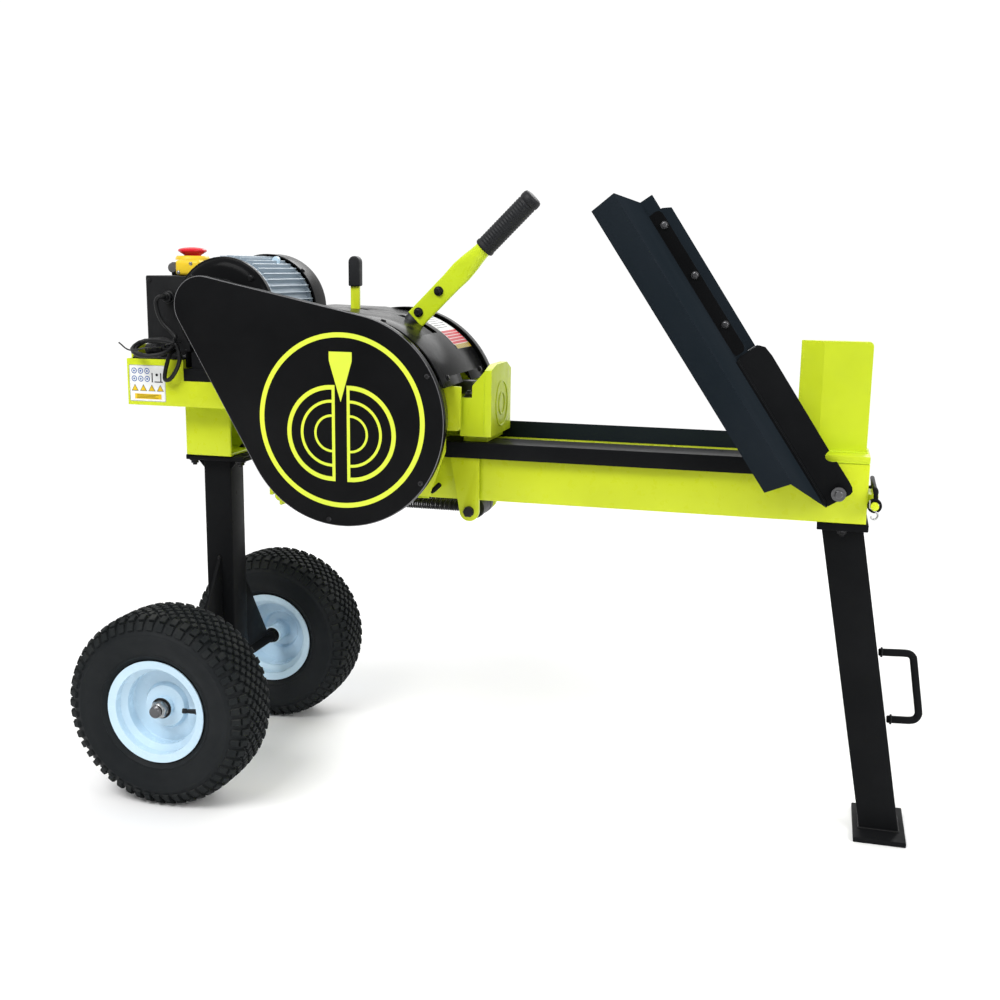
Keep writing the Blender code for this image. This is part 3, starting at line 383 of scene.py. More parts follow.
@dataclass(frozen=True)
class Finish:
    """One finish, and how it is drawn.

    Attributes:
        name: What a maker would call it.
        colour: Its main colour, linear.
        shade: The colour it varies towards in broad patches.
        rough: Its lowest and highest roughness.
        metal: 1 for bare metal.
        coat: How much clear gloss lies over it.
        grain: Its fine relief.
        depth: How deep the relief is, in metres.
        worn: The colour its edges take: scuffs down to bare steel where it is darker or bare metal, a painted highlight
            where it is a lighter tone of the same coat.
        wear: How much of the edges takes that colour.
        dust: How much pale dust lies on it.
        axis: For turned metal, the x and z of the axis it was turned about.
        shine: How strong its surface reflection is.
    """

    name: str
    colour: Colour
    shade: Colour
    rough: tuple[float, float]
    metal: float = 0.0
    coat: float = 0.0
    grain: Grain = Grain.ORANGE_PEEL
    depth: float = 0.00008
    worn: Colour = (0.3, 0.3, 0.3)
    wear: float = 0.0
    dust: float = 0.0
    axis: tuple[float, float] = (0.0, 0.0)
    shine: float = 0.4

    def make(self) -> bpy.types.Material:
        """Build the material once and return it every later time."""
        known = bpy.data.materials.get(self.name)
        if known is not None:
            return known
        bench = ShaderBench(self.name)
        broad = bench.noise(5.0, 4.0)
        fine = bench.noise(60.0, 5.0)
        colour = bench.blend(bench.span(broad, 0.35, 0.65, 0.0, 1.0), self.colour, self.shade)
        rough = bench.span(fine, 0.3, 0.7, self.rough[0], self.rough[1])
        # Edge colour from a bevel mask: scuffs to bare steel where the edge colour is darker or bare metal, a painted
        # highlight where it is a lighter tone of the same coat.
        if self.wear > 0.0:
            edge_scuff_and_highlight_mask = bench.edges(0.0011, 0.02, 0.16)
            broken = bench.span(bench.noise(150.0, 6.0), 0.50, 0.62, 0.0, self.wear)
            share = bench.sum_of("MULTIPLY", edge_scuff_and_highlight_mask, broken)
            colour = bench.blend(share, colour, self.worn)
        if self.dust > 0.0:
            facing = bench.add("ShaderNodeSeparateXYZ", {0: bench.add("ShaderNodeNewGeometry").outputs["Normal"]})
            upward = bench.span(facing.outputs[2], 0.2, 1.0, 0.15, 1.0)
            patches = bench.span(bench.noise(22.0, 8.0), 0.42, 0.72, 0.0, self.dust)
            share = bench.sum_of("MULTIPLY", upward, patches)
            colour = bench.blend(share, colour, (0.42, 0.40, 0.36))
            rough = bench.sum_of("ADD", rough, bench.sum_of("MULTIPLY", share, 0.3))
        bench.give(Base_Color=colour, Roughness=rough, Metallic=self.metal)
        bench.give(Coat_Weight=self.coat, Coat_Roughness=0.12, Specular_IOR_Level=self.shine)
        normal = self.texture(bench)
        if normal is not None:
            bench.give(Normal=normal)
        bench.material.diffuse_color = opaque(self.colour)
        return bench.material

    def texture(self, bench: ShaderBench) -> bpy.types.NodeSocket | None:
        """The finish's fine relief.

        Args:
            bench: The material's node tree.

        Returns:
            The normal's socket, or None for a smooth finish.
        """
        if self.grain is Grain.ORANGE_PEEL:
            return bench.relief(bench.noise(260.0, 2.0), 0.10, self.depth * 0.6)
        if self.grain is Grain.MOULDED:
            first = bench.relief(bench.noise(1500.0, 3.0), 0.20, self.depth * 0.6)
            return bench.relief(bench.noise(90.0, 3.0), 0.12, self.depth * 2.0, first)
        if self.grain is Grain.CAST:
            first = bench.relief(bench.noise(700.0, 6.0), 0.35, self.depth)
            return bench.relief(bench.noise(120.0, 4.0), 0.35, self.depth * 2.0, first)
        if self.grain is Grain.TURNED:
            moved = bench.add(
                "ShaderNodeMapping",
                {"Vector": bench.coords, "Location": (-self.axis[0], 0.0, -self.axis[1]), "Scale": (1.0, 0.0, 1.0)},
            )
            reach = bench.add("ShaderNodeVectorMath", {0: moved.outputs[0]}, operation="LENGTH").outputs["Value"]
            rings = bench.sum_of("SINE", bench.sum_of("MULTIPLY", reach, 5200.0), 0.0)
            return bench.relief(rings, 0.25, self.depth)
        return None


# Edges painted a lighter lime than the coat: a painted highlight on clean paint.
LIME = Finish("lime_enamel", (0.62, 0.72, 0.022), (0.57, 0.66, 0.016), (0.24, 0.36), coat=0.05, shine=0.25,
              worn=(0.76, 0.86, 0.22), wear=0.45)
LIME_FACE = Finish("lime_enamel_scuffed", (0.60, 0.72, 0.020), (0.52, 0.63, 0.018), (0.28, 0.48), coat=0.04, shine=0.25,
                   worn=(0.30, 0.31, 0.27), wear=0.8, dust=0.08)
# Edges painted a little lighter than the coat: a painted highlight.
BLACK = Finish("black_powder_coat", (0.0070, 0.0074, 0.0080), (0.0100, 0.0104, 0.0112), (0.27, 0.40), coat=0.0,
               shine=0.02, worn=(0.030, 0.031, 0.033), wear=0.6)
# Edges painted a little lighter than the coat: a painted highlight.
BLACK_GLOSS = Finish("black_gloss_coat", (0.0056, 0.0058, 0.0062), (0.0086, 0.0088, 0.0094), (0.16, 0.26), coat=0.0,
                     shine=0.03, worn=(0.045, 0.045, 0.05), wear=0.4)
# Edges painted a little lighter than the coat: a painted highlight.
SLATE = Finish("slate_gloss_coat", (0.0110, 0.0155, 0.0200), (0.0145, 0.0190, 0.0240), (0.30, 0.40), coat=0.0,
               shine=0.0, worn=(0.045, 0.050, 0.056), wear=0.5)
TREAD = Finish("tyre_tread_rubber", (0.0080, 0.0100, 0.0108), (0.0120, 0.0142, 0.0152), (0.62, 0.84), shine=0.12,
               grain=Grain.CAST, depth=0.00018, dust=0.07)
SIDEWALL = Finish("tyre_sidewall_rubber", (0.0080, 0.0098, 0.0112), (0.0118, 0.0136, 0.0150), (0.48, 0.66),
                  shine=0.12, grain=Grain.MOULDED, depth=0.00012, dust=0.03)
LIME_ROUND = Finish("lime_enamel_on_tube", (0.62, 0.77, 0.022), (0.56, 0.70, 0.016), (0.24, 0.36), coat=0.05,
                    shine=0.25, grain=Grain.PLAIN)
# A pale band on the cover's folded rim: a painted highlight.
EDGE_SHEEN = Finish("folded_black_edge", (0.16, 0.16, 0.165), (0.08, 0.08, 0.085), (0.18, 0.28), shine=0.3)
DULL_STEEL = Finish("dull_steel", (0.16, 0.16, 0.165), (0.10, 0.10, 0.105), (0.28, 0.44), metal=0.9, grain=Grain.CAST,
                    depth=0.00003, worn=(0.4, 0.4, 0.4), wear=0.6)
# Edges painted a paler blue than the enamel: a painted highlight.
RIM = Finish("pale_rim_enamel", (0.56, 0.73, 0.85), (0.51, 0.68, 0.81), (0.18, 0.32), coat=0.15, shine=0.3,
             worn=(0.70, 0.80, 0.88), wear=0.3, dust=0.06)
ZINC = Finish("bright_zinc", (0.50, 0.50, 0.49), (0.38, 0.39, 0.40), (0.24, 0.44), metal=1.0, grain=Grain.CAST,
              depth=0.00003)
# Edges painted a paler blue-grey than the enamel: a painted highlight.
FIN_PAINT = Finish("pale_motor_enamel", (0.36, 0.43, 0.49), (0.31, 0.38, 0.44), (0.28, 0.42), coat=0.1, shine=0.3,
                   grain=Grain.CAST, depth=0.00008, worn=(0.62, 0.70, 0.76), wear=0.5)
OILED = Finish("dark_oiled_steel", (0.055, 0.057, 0.062), (0.085, 0.086, 0.092), (0.28, 0.46), metal=0.9,
               grain=Grain.CAST, depth=0.00006, worn=(0.30, 0.30, 0.30), wear=0.7)
BOLT_BLACK = Finish("black_oxide_bolt", (0.010, 0.010, 0.011), (0.018, 0.018, 0.019), (0.30, 0.46), metal=0.4,
                    shine=0.25, grain=Grain.CAST, depth=0.00003, worn=(0.14, 0.14, 0.15), wear=0.8)
TURNED = Finish("turned_iron", (0.12, 0.125, 0.13), (0.16, 0.16, 0.165), (0.24, 0.36), metal=1.0,
                grain=Grain.TURNED, depth=0.00003, axis=DRIVE_AXIS, worn=(0.4, 0.4, 0.4), wear=0.5)
BELT = Finish("belt_rubber", (0.008, 0.008, 0.009), (0.014, 0.014, 0.014), (0.60, 0.80), shine=0.2,
              grain=Grain.MOULDED)
GRIP = Finish("grip_rubber", (0.0080, 0.0088, 0.0105), (0.0120, 0.0128, 0.0145), (0.44, 0.62), shine=0.25,
              grain=Grain.MOULDED, depth=0.0001, dust=0.02)
# Edges painted a little lighter than the plastic: a painted highlight.
PLASTIC = Finish("black_moulded_plastic", (0.0062, 0.0066, 0.0074), (0.0090, 0.0094, 0.0102), (0.34, 0.50),
                 shine=0.22, grain=Grain.MOULDED, depth=0.00006, worn=(0.04, 0.04, 0.04), wear=0.4)
LEAD = Finish("lead_sheath", (0.0060, 0.0062, 0.0068), (0.0095, 0.0097, 0.0102), (0.36, 0.52), shine=0.25,
              grain=Grain.MOULDED, depth=0.00004)
STOP_RED = Finish("stop_red_plastic", (0.66, 0.014, 0.028), (0.60, 0.012, 0.024), (0.18, 0.30), coat=0.0, shine=0.22,
                  grain=Grain.MOULDED, depth=0.00002)
YELLOW = Finish("switch_yellow_plastic", (0.80, 0.57, 0.030), (0.74, 0.50, 0.022), (0.28, 0.42), shine=0.25,
                grain=Grain.MOULDED, depth=0.00003)
GREY_KNOB = Finish("grey_plastic", (0.12, 0.12, 0.12), (0.08, 0.08, 0.08), (0.35, 0.5), grain=Grain.MOULDED)
DECAL_LIME = Finish("yellow_lime_print", (0.62, 0.74, 0.06), (0.72, 0.80, 0.055), (0.32, 0.44), shine=0.2,
                    grain=Grain.PLAIN)
DECAL_WHITE = Finish("white_film", (0.86, 0.87, 0.86), (0.82, 0.83, 0.82), (0.24, 0.36), grain=Grain.PLAIN, shine=0.10)
DECAL_BLUE = Finish("blue_print", (0.035, 0.12, 0.40), (0.030, 0.10, 0.35), (0.25, 0.35), grain=Grain.PLAIN, shine=0.10)
DECAL_DARK = Finish("black_print", (0.008, 0.008, 0.010), (0.012, 0.012, 0.014), (0.28, 0.38), shine=0.2,
                    grain=Grain.PLAIN)
DECAL_YELLOW = Finish("yellow_print", (0.80, 0.55, 0.030), (0.74, 0.50, 0.025), (0.28, 0.38), grain=Grain.PLAIN,
        shine=0.10)
DECAL_RED = Finish("red_print", (0.58, 0.018, 0.032), (0.52, 0.015, 0.027), (0.28, 0.38), grain=Grain.PLAIN, shine=0.10)
WELD = Finish("painted_weld", (0.0044, 0.0046, 0.0050), (0.0065, 0.0068, 0.0074), (0.28, 0.42), shine=0.2,
              grain=Grain.CAST)
LIME_WELD = Finish("lime_weld", (0.58, 0.72, 0.018), (0.53, 0.66, 0.014), (0.26, 0.40), shine=0.25, grain=Grain.CAST)


class Tree:
    """A Geometry Nodes tree, put together in code."""

    def __init__(self, name: str) -> None:
        """Start a tree with one geometry in and one out.

        Args:
            name: The tree's name.
        """
        self.group = bpy.data.node_groups.new(name, "GeometryNodeTree")
        self.group.interface.new_socket("Geometry", in_out="INPUT", socket_type="NodeSocketGeometry")
        self.group.interface.new_socket("Geometry", in_out="OUTPUT", socket_type="NodeSocketGeometry")
        self.source = self.group.nodes.new("NodeGroupInput")
        self.sink = self.group.nodes.new("NodeGroupOutput")

    def entry(self, name: str, value: Any) -> bpy.types.NodeSocket:
        """Add a named input.

        Args:
            name: What the input sets.
            value: Its default, whose type picks the socket; None is a material.

        Returns:
            The socket to link from.
        """
        kinds = {int: "NodeSocketInt", float: "NodeSocketFloat", tuple: "NodeSocketVector"}
        kind = kinds.get(type(value), "NodeSocketMaterial")
        socket = self.group.interface.new_socket(name, in_out="INPUT", socket_type=kind)
        if value is not None:
            socket.default_value = value
        return self.source.outputs[name]

    def add(self, kind: str, feeds: dict[Any, Any] | None = None, **settings: Any) -> bpy.types.Node:
        """Add one node and feed its sockets.

        Args:
            kind: Blender's name for the node, without its first word where that is GeometryNode.
            feeds: Values or sockets, by input name or number.
            **settings: Properties of the node itself.

        Returns:
            The new node.
        """
        full = kind if kind.startswith(("Shader", "Function")) else "GeometryNode" + kind
        node = self.group.nodes.new(full)
        for key, value in settings.items():
            setattr(node, key, value)
        for key, value in (feeds or {}).items():
            feed(self.group, node.inputs[key], value)
        return node

    def math(self, operation: str, one: Any, two: Any) -> bpy.types.NodeSocket:
        """One step of arithmetic.

        Args:
            operation: The Math node's operation.
            one: The first value or socket.
            two: The second value or socket.

        Returns:
            The result's socket.
        """
        return self.add("ShaderNodeMath", {0: one, 1: two}, operation=operation).outputs[0]

    def joined(self, *parts: bpy.types.NodeSocket) -> bpy.types.NodeSocket:
        """Join several geometries.

        Args:
            *parts: The geometries' sockets.

        Returns:
            The joined geometry's socket.
        """
        node = self.group.nodes.new("GeometryNodeJoinGeometry")
        for part in reversed(parts):
            self.group.links.new(part, node.inputs[0])
        return node.outputs[0]

    def end(self, geometry: bpy.types.NodeSocket, surface: bpy.types.NodeSocket) -> "Tree":
        """Realize the instances, set the material and close the tree.

        Args:
            geometry: What the tree made.
            surface: The socket of its material input.

        Returns:
            The tree itself.
        """
        real = self.add("RealizeInstances", {0: geometry}).outputs[0]
        dressed = self.add("SetMaterial", {"Geometry": real, "Material": surface}).outputs[0]
        self.group.links.new(dressed, self.sink.inputs[0])
        return self

    def grow(self, values: dict[str, Any], base: bpy.types.Mesh | None = None) -> bpy.types.Mesh:
        """Run the tree and return its result as a plain mesh.

        Args:
            values: The inputs that differ from their defaults, by name.
            base: The mesh that the tree starts from.

        Returns:
            The finished mesh.
        """
        start = base or bpy.data.meshes.new("start")
        holder = bpy.data.objects.new("holder", start)
        bpy.context.scene.collection.objects.link(holder)
        modifier = holder.modifiers.new("grow", "NODES")
        modifier.node_group = self.group
        for item in self.group.interface.items_tree:
            if item.in_out == "INPUT" and item.name in values:
                modifier[item.identifier] = values[item.name]
        graph = bpy.context.evaluated_depsgraph_get()
        result = bpy.data.meshes.new_from_object(holder.evaluated_get(graph))
        holder.modifiers.clear()
        bpy.data.objects.remove(holder, do_unlink=True)
        return result


@dataclass
class Outline:
    """Corner points and faces of a shape that is being put together."""

    corners: list[Vector]
    faces: list[tuple[int, ...]]

    def moved(self, matrix: Matrix) -> "Outline":
        """The same shape after a transform."""
        return Outline([matrix @ corner for corner in self.corners], list(self.faces))

    def plus(self, *others: "Outline") -> "Outline":
        """This shape and others as one.

        Args:
            *others: The shapes to add.

        Returns:
            The joined shape.
        """
        corners = list(self.corners)
        faces = list(self.faces)
        for other in others:
            first = len(corners)
            corners += other.corners
            faces += [tuple(first + index for index in face) for face in other.faces]
        return Outline(corners, faces)


def arc(centre: Point, radius: float, start: float, end: float, steps: int) -> list[tuple[float, float]]:
    """Points on a circle.

    Args:
        centre: The circle's centre.
        radius: Its radius.
        start: The first angle, in degrees.
        end: The last angle, in degrees.
        steps: How many steps lie between them.

    Returns:
        The points, both ends included.
    """
    spots = []
    for step in range(steps + 1):
        angle = math.radians(start + (end - start) * step / steps)
        spots.append((centre[0] + radius * math.cos(angle), centre[1] + radius * math.sin(angle)))
    return spots


def turned(profile: Sequence[Point], steps: int, place: Point = (0.0, 0.0, 0.0),
           along: Point = (0.0, 1.0, 0.0)) -> Outline:
    """Turn a closed profile about a line.

    Args:
        profile: (radius, distance) points round the section.
        steps: How many steps make a full turn.
        place: A point on the line.
        along: The line's direction.

    Returns:
        The closed shape.
    """
    turn = Vector((0.0, 1.0, 0.0)).rotation_difference(Vector(along).normalized()).to_matrix()
    corners: list[Vector] = []
    rows: list[list[int]] = []
    for radius, distance in profile:
        if radius < 0.000001:
            rows.append([len(corners)] * steps)
            corners.append(Vector(place) + turn @ Vector((0.0, distance, 0.0)))
            continue
        rows.append(list(range(len(corners), len(corners) + steps)))
        for step in range(steps):
            angle = 2.0 * math.pi * step / steps
            spot = Vector((radius * math.cos(angle), distance, radius * math.sin(angle)))
            corners.append(Vector(place) + turn @ spot)
    faces = []
    for one, row in enumerate(rows):
        following = rows[(one + 1) % len(rows)]
        for step in range(steps):
            after = (step + 1) % steps
            ring = tuple(dict.fromkeys((row[step], row[after], following[after], following[step])))
            if len(ring) > 2:
                faces.append(ring)
    return Outline(corners, faces)


def prism(outline: Sequence[Point], start: float, end: float) -> Outline:
    """Push an outline of (x, z) points along Y.

    Args:
        outline: The points round it.
        start: The first Y.
        end: The last Y.

    Returns:
        The closed shape.
    """
    count = len(outline)
    corners = [Vector((x, start, z)) for x, z in outline] + [Vector((x, end, z)) for x, z in outline]
    faces = [tuple(range(count)), tuple(range(2 * count - 1, count - 1, -1))]
    faces += [(i, (i + 1) % count, count + (i + 1) % count, count + i) for i in range(count)]
    return Outline(corners, faces)


def slab(outline: Sequence[Point], start: float, end: float) -> Outline:
    """Push an outline of (y, z) points along X.

    Args:
        outline: The points round it.
        start: The first X.
        end: The last X.

    Returns:
        The closed shape.
    """
    flat = prism(outline, start, end)
    return Outline([Vector((corner.y, corner.x, corner.z)) for corner in flat.corners], flat.faces)


def block(x_span: Point, y_span: Point, z_span: Point) -> Outline:
    """A block between two corners."""
    outline = [(x_span[0], z_span[0]), (x_span[1], z_span[0]), (x_span[1], z_span[1]), (x_span[0], z_span[1])]
    return prism(outline, y_span[0], y_span[1])


def tube(path: Sequence[Point], radius: float, steps: int = 16) -> Outline:
    """A round bar along a path, with domed ends.

    Args:
        path: The points of its centreline.
        radius: Its radius.
        steps: How many sides it has.

    Returns:
        The closed shape.
    """
    points = [Vector(point) for point in path]
    first = (points[0] - points[1]).normalized() * radius
    last = (points[-1] - points[-2]).normalized() * radius
    line = [(points[0], radius * 0.8), *[(point, radius) for point in points[1:-1]], (points[-1], radius * 0.8)]
    line.insert(1, (points[0] - first * 0.25, radius))
    line.insert(-1, (points[-1] - last * 0.25, radius))
    corners: list[Vector] = []
    side = Vector((0.0, 0.0, 0.0))
    for index, (point, reach) in enumerate(line):
        heading = (line[min(index + 1, len(line) - 1)][0] - line[max(index - 1, 0)][0]).normalized()
        if side.length < 0.5:
            guide = Vector((0.0, 1.0, 0.0)) if abs(heading.y) < 0.9 else Vector((1.0, 0.0, 0.0))
            side = heading.cross(guide)
        side = (side - heading * side.dot(heading)).normalized()
        upward = heading.cross(side)
        for step in range(steps):
            angle = 2.0 * math.pi * step / steps
            corners.append(point + side * (reach * math.cos(angle)) + upward * (reach * math.sin(angle)))
    faces = [tuple(range(steps))]
    for index in range(len(line) - 1):
        base = index * steps
        for step in range(steps):
            after = (step + 1) % steps
            faces.append((base + step, base + after, base + steps + after, base + steps + step))
    end = (len(line) - 1) * steps
    faces.append(tuple(range(end + steps - 1, end - 1, -1)))
    return Outline(corners, faces)


def smooth_route(knots: Sequence[Point], steps: int) -> list[Vector]:
    """Points on a smooth line through every knot.

    Args:
        knots: The points it passes through.
        steps: How many pieces each stretch is cut into.

    Returns:
        The line's points.
    """
    points = [Vector(knot) for knot in knots]
    padded = [points[0] * 2.0 - points[1]] + points + [points[-1] * 2.0 - points[-2]]
    route = []
    for index in range(1, len(padded) - 2):
        first, second, third, fourth = padded[index - 1:index + 3]
        for step in range(steps):
            t = step / steps
            spot = second * 2.0 + (third - first) * t
            spot += (first * 2.0 - second * 5.0 + third * 4.0 - fourth) * t * t
            spot += (second * 3.0 - first - third * 3.0 + fourth) * t * t * t
            route.append(spot * 0.5)
    route.append(points[-1])
    return route


def hull(small: Point, small_radius: float, big: Point, big_radius: float, fine: int = 96) -> list[tuple[float, float]]:
    """The tight outline round two circles.

    Args:
        small: The small circle's centre.
        small_radius: Its radius.
        big: The big circle's centre.
        big_radius: Its radius.
        fine: How many steps a full turn would have.

    Returns:
        The loop's points.
    """
    gap_x = big[0] - small[0]
    gap_z = big[1] - small[1]
    heading = math.atan2(gap_z, gap_x)
    lean = math.acos((small_radius - big_radius) / math.hypot(gap_x, gap_z))
    upper = math.degrees(heading + lean)
    lower = math.degrees(heading - lean)
    loop = arc(small, small_radius, upper, lower + 360.0, fine // 3)
    return loop + arc(big, big_radius, lower, upper, fine * 2 // 3)


def tray_point(along: float, normal: float, y: float) -> Vector:
    """A point of the raised tray.

    Args:
        along: Its distance up the tray.
        normal: Its height over the tray's plane.
        y: Its Y.

    Returns:
        The point in the frame.
    """
    cosine = math.cos(TRAY_ANGLE)
    sine = math.sin(TRAY_ANGLE)
    x = TRAY_BASE[0] - along * cosine + normal * sine
    return Vector((x, y, TRAY_BASE[1] + along * sine + normal * cosine))


class Maker:
    """Puts finished meshes into the scene and ties them to the frame."""

    def __init__(self, frame: dict[str, Any]) -> None:
        """Remember the frame.
        """
        self.nodes: dict[str, bpy.types.Object] = frame["nodes"]
        self.bodies: dict[str, str] = {}
        for body, members in frame["record"]["behaviour"]["bodies"].items():
            for node in members:
                self.bodies[node] = body

    def mesh(self, name: str, shape: Outline, finish: Finish, angle: float = 35.0) -> bpy.types.Object:
        """Link a mesh object with merged corners and outward faces.

        Args:
            name: The piece's name.
            shape: Its corners and faces.
            finish: Its finish.
            angle: Edges sharper than this stay crisp, in degrees.

        Returns:
            The object.
        """
        data = bpy.data.meshes.new(name)
        data.from_pydata([tuple(corner) for corner in shape.corners], [], shape.faces)
        work = bmesh.new()
        work.from_mesh(data)
        bmesh.ops.remove_doubles(work, verts=work.verts, dist=0.000004)
        bmesh.ops.recalc_face_normals(work, faces=work.faces)
        work.to_mesh(data)
        work.free()
        data.materials.append(finish.make())
        return self.link(name, data, angle)

    def link(self, name: str, data: bpy.types.Mesh, angle: float = 35.0) -> bpy.types.Object:
        """Put a mesh into the scene, shaded by edge angle.

        Args:
            name: The piece's name.
            data: Its mesh.
            angle: Edges sharper than this stay crisp, in degrees.

        Returns:
            The object.
        """
        data.name = name
        data.polygons.foreach_set("use_smooth", [True] * len(data.polygons))
        data.set_sharp_from_angle(angle=math.radians(angle))
        item = bpy.data.objects.new(name, data)
        bpy.context.scene.collection.objects.link(item)
        return item

    def settle(self, item: bpy.types.Object, body: str, *nodes: str, slot: str = "") -> bpy.types.Object:
        """Tie a piece to its body and say what it stands for.

        Args:
            item: The piece.
            body: The body it moves with.
            *nodes: The frame's nodes that it replaces.
            slot: The material slot it takes its finish from, if not its first node's.

        Returns:
            The piece.
        """
        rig.ride(item, body)
        if nodes:
            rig.replaces(item, *nodes)
        if slot or nodes:
            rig.slot(item, slot or nodes[0])
        LOG.info("made %s on %s (%d faces)", item.name, body, len(item.data.polygons))
        return item

    def bevelled(self, item: bpy.types.Object, width: float, segments: int = 2, angle: float = 30.0,
                 crisp: float = 40.0) -> bpy.types.Object:
        """Round a piece's sharp edges and apply the result.

        Args:
            width: The rounding's width in metres.
            segments: How many facets it has.
            angle: Edges sharper than this are rounded, in degrees.
            crisp: Edges sharper than this stay crisp afterwards, in degrees.

        Returns:
            The same object with its new mesh.
        """
        modifier = item.modifiers.new("edges", "BEVEL")
        modifier.width = width
        modifier.segments = segments
        modifier.limit_method = "ANGLE"
        modifier.angle_limit = math.radians(angle)
        modifier.use_clamp_overlap = True
        modifier.miter_outer = "MITER_ARC"
        modifier.harden_normals = False
        graph = bpy.context.evaluated_depsgraph_get()
        result = bpy.data.meshes.new_from_object(item.evaluated_get(graph))
        item.modifiers.clear()
        item.data = result
        result.name = item.name
        result.polygons.foreach_set("use_smooth", [True] * len(result.polygons))
        result.set_sharp_from_angle(angle=math.radians(crisp))
        return item

    def carved(self, item: bpy.types.Object, tool: Outline) -> bpy.types.Object:
        """Cut a shape out of a piece.

        Args:
            tool: The closed shape to cut away.

        Returns:
            The same object with its new mesh.
        """
        knife = self.mesh("knife", tool, BLACK)
        modifier = item.modifiers.new("cut", "BOOLEAN")
        modifier.operation = "DIFFERENCE"
        modifier.solver = "EXACT"
        modifier.object = knife
        graph = bpy.context.evaluated_depsgraph_get()
        result = bpy.data.meshes.new_from_object(item.evaluated_get(graph))
        item.modifiers.clear()
        item.data = result
        result.name = item.name
        bpy.data.objects.remove(knife, do_unlink=True)
        while len(result.materials) > 1:
            result.materials.pop(index=len(result.materials) - 1)
        return item

    def refined(self, node: str, name: str, finish: Finish, width: float = 0.0009, segments: int = 2,
                crisp: float = 40.0) -> bpy.types.Object:
        """Stand a merged, edge-rounded copy in for a node of the frame.

        Args:
            node: The node's name.
            name: The new piece's name.
            finish: Its finish.
            width: The rounding's width in metres.
            segments: How many facets the rounding has.
            crisp: Edges sharper than this stay crisp, in degrees.

        Returns:
            The new piece, already on its body.
        """
        data = self.nodes[node].data.copy()
        work = bmesh.new()
        work.from_mesh(data)
        bmesh.ops.remove_doubles(work, verts=work.verts, dist=0.00002)
        bmesh.ops.dissolve_limit(work, angle_limit=math.radians(0.6), verts=work.verts, edges=work.edges)
        work.to_mesh(data)
        work.free()
        data.materials.clear()
        data.materials.append(finish.make())
        if data.has_custom_normals:
            data.normals_split_custom_set([(0.0, 0.0, 0.0)] * len(data.loops))
        data.polygons.foreach_set("material_index", [0] * len(data.polygons))
        item = self.link(name, data)
        self.bevelled(item, width, segments, 30.0, crisp)
        return self.settle(item, self.bodies[node], node)

    def grown(self, name: str, tree: Tree, values: dict[str, Any], base: bpy.types.Mesh | None = None,
              angle: float = 35.0) -> bpy.types.Object:
        """Run a tree and link its result.

        Args:
            name: The piece's name.
            tree: The tree to run.
            values: Its inputs by name; a finish is passed as its material.
            base: The mesh it starts from.
            angle: Edges sharper than this stay crisp, in degrees.

        Returns:
            The new object.
        """
        ready = {key: value.make() if isinstance(value, Finish) else value for key, value in values.items()}
        return self.link(name, tree.grow(ready, base), angle)


@dataclass(frozen=True)
class Bolt:
    """Where one fastener sits.

    Attributes:
        place: The middle of its seat.
        aim: Which way its head points.
        radius: Half the width across the head's corners.
    """

    place: tuple[float, float, float]
    aim: tuple[float, float, float]
    radius: float


def spots(bolts: Iterable[Bolt]) -> bpy.types.Mesh:
    """Loose points that carry each fastener's aim and size.

    Args:
        bolts: The fasteners.

    Returns:
        The mesh of points.
    """
    items = list(bolts)
    data = bpy.data.meshes.new("spots")
    data.from_pydata([bolt.place for bolt in items], [], [])
    aim = data.attributes.new("aim", "FLOAT_VECTOR", "POINT")
    aim.data.foreach_set("vector", [value for bolt in items for value in bolt.aim])
    size = data.attributes.new("size", "FLOAT", "POINT")
    size.data.foreach_set("value", [bolt.radius for bolt in items])
    return data


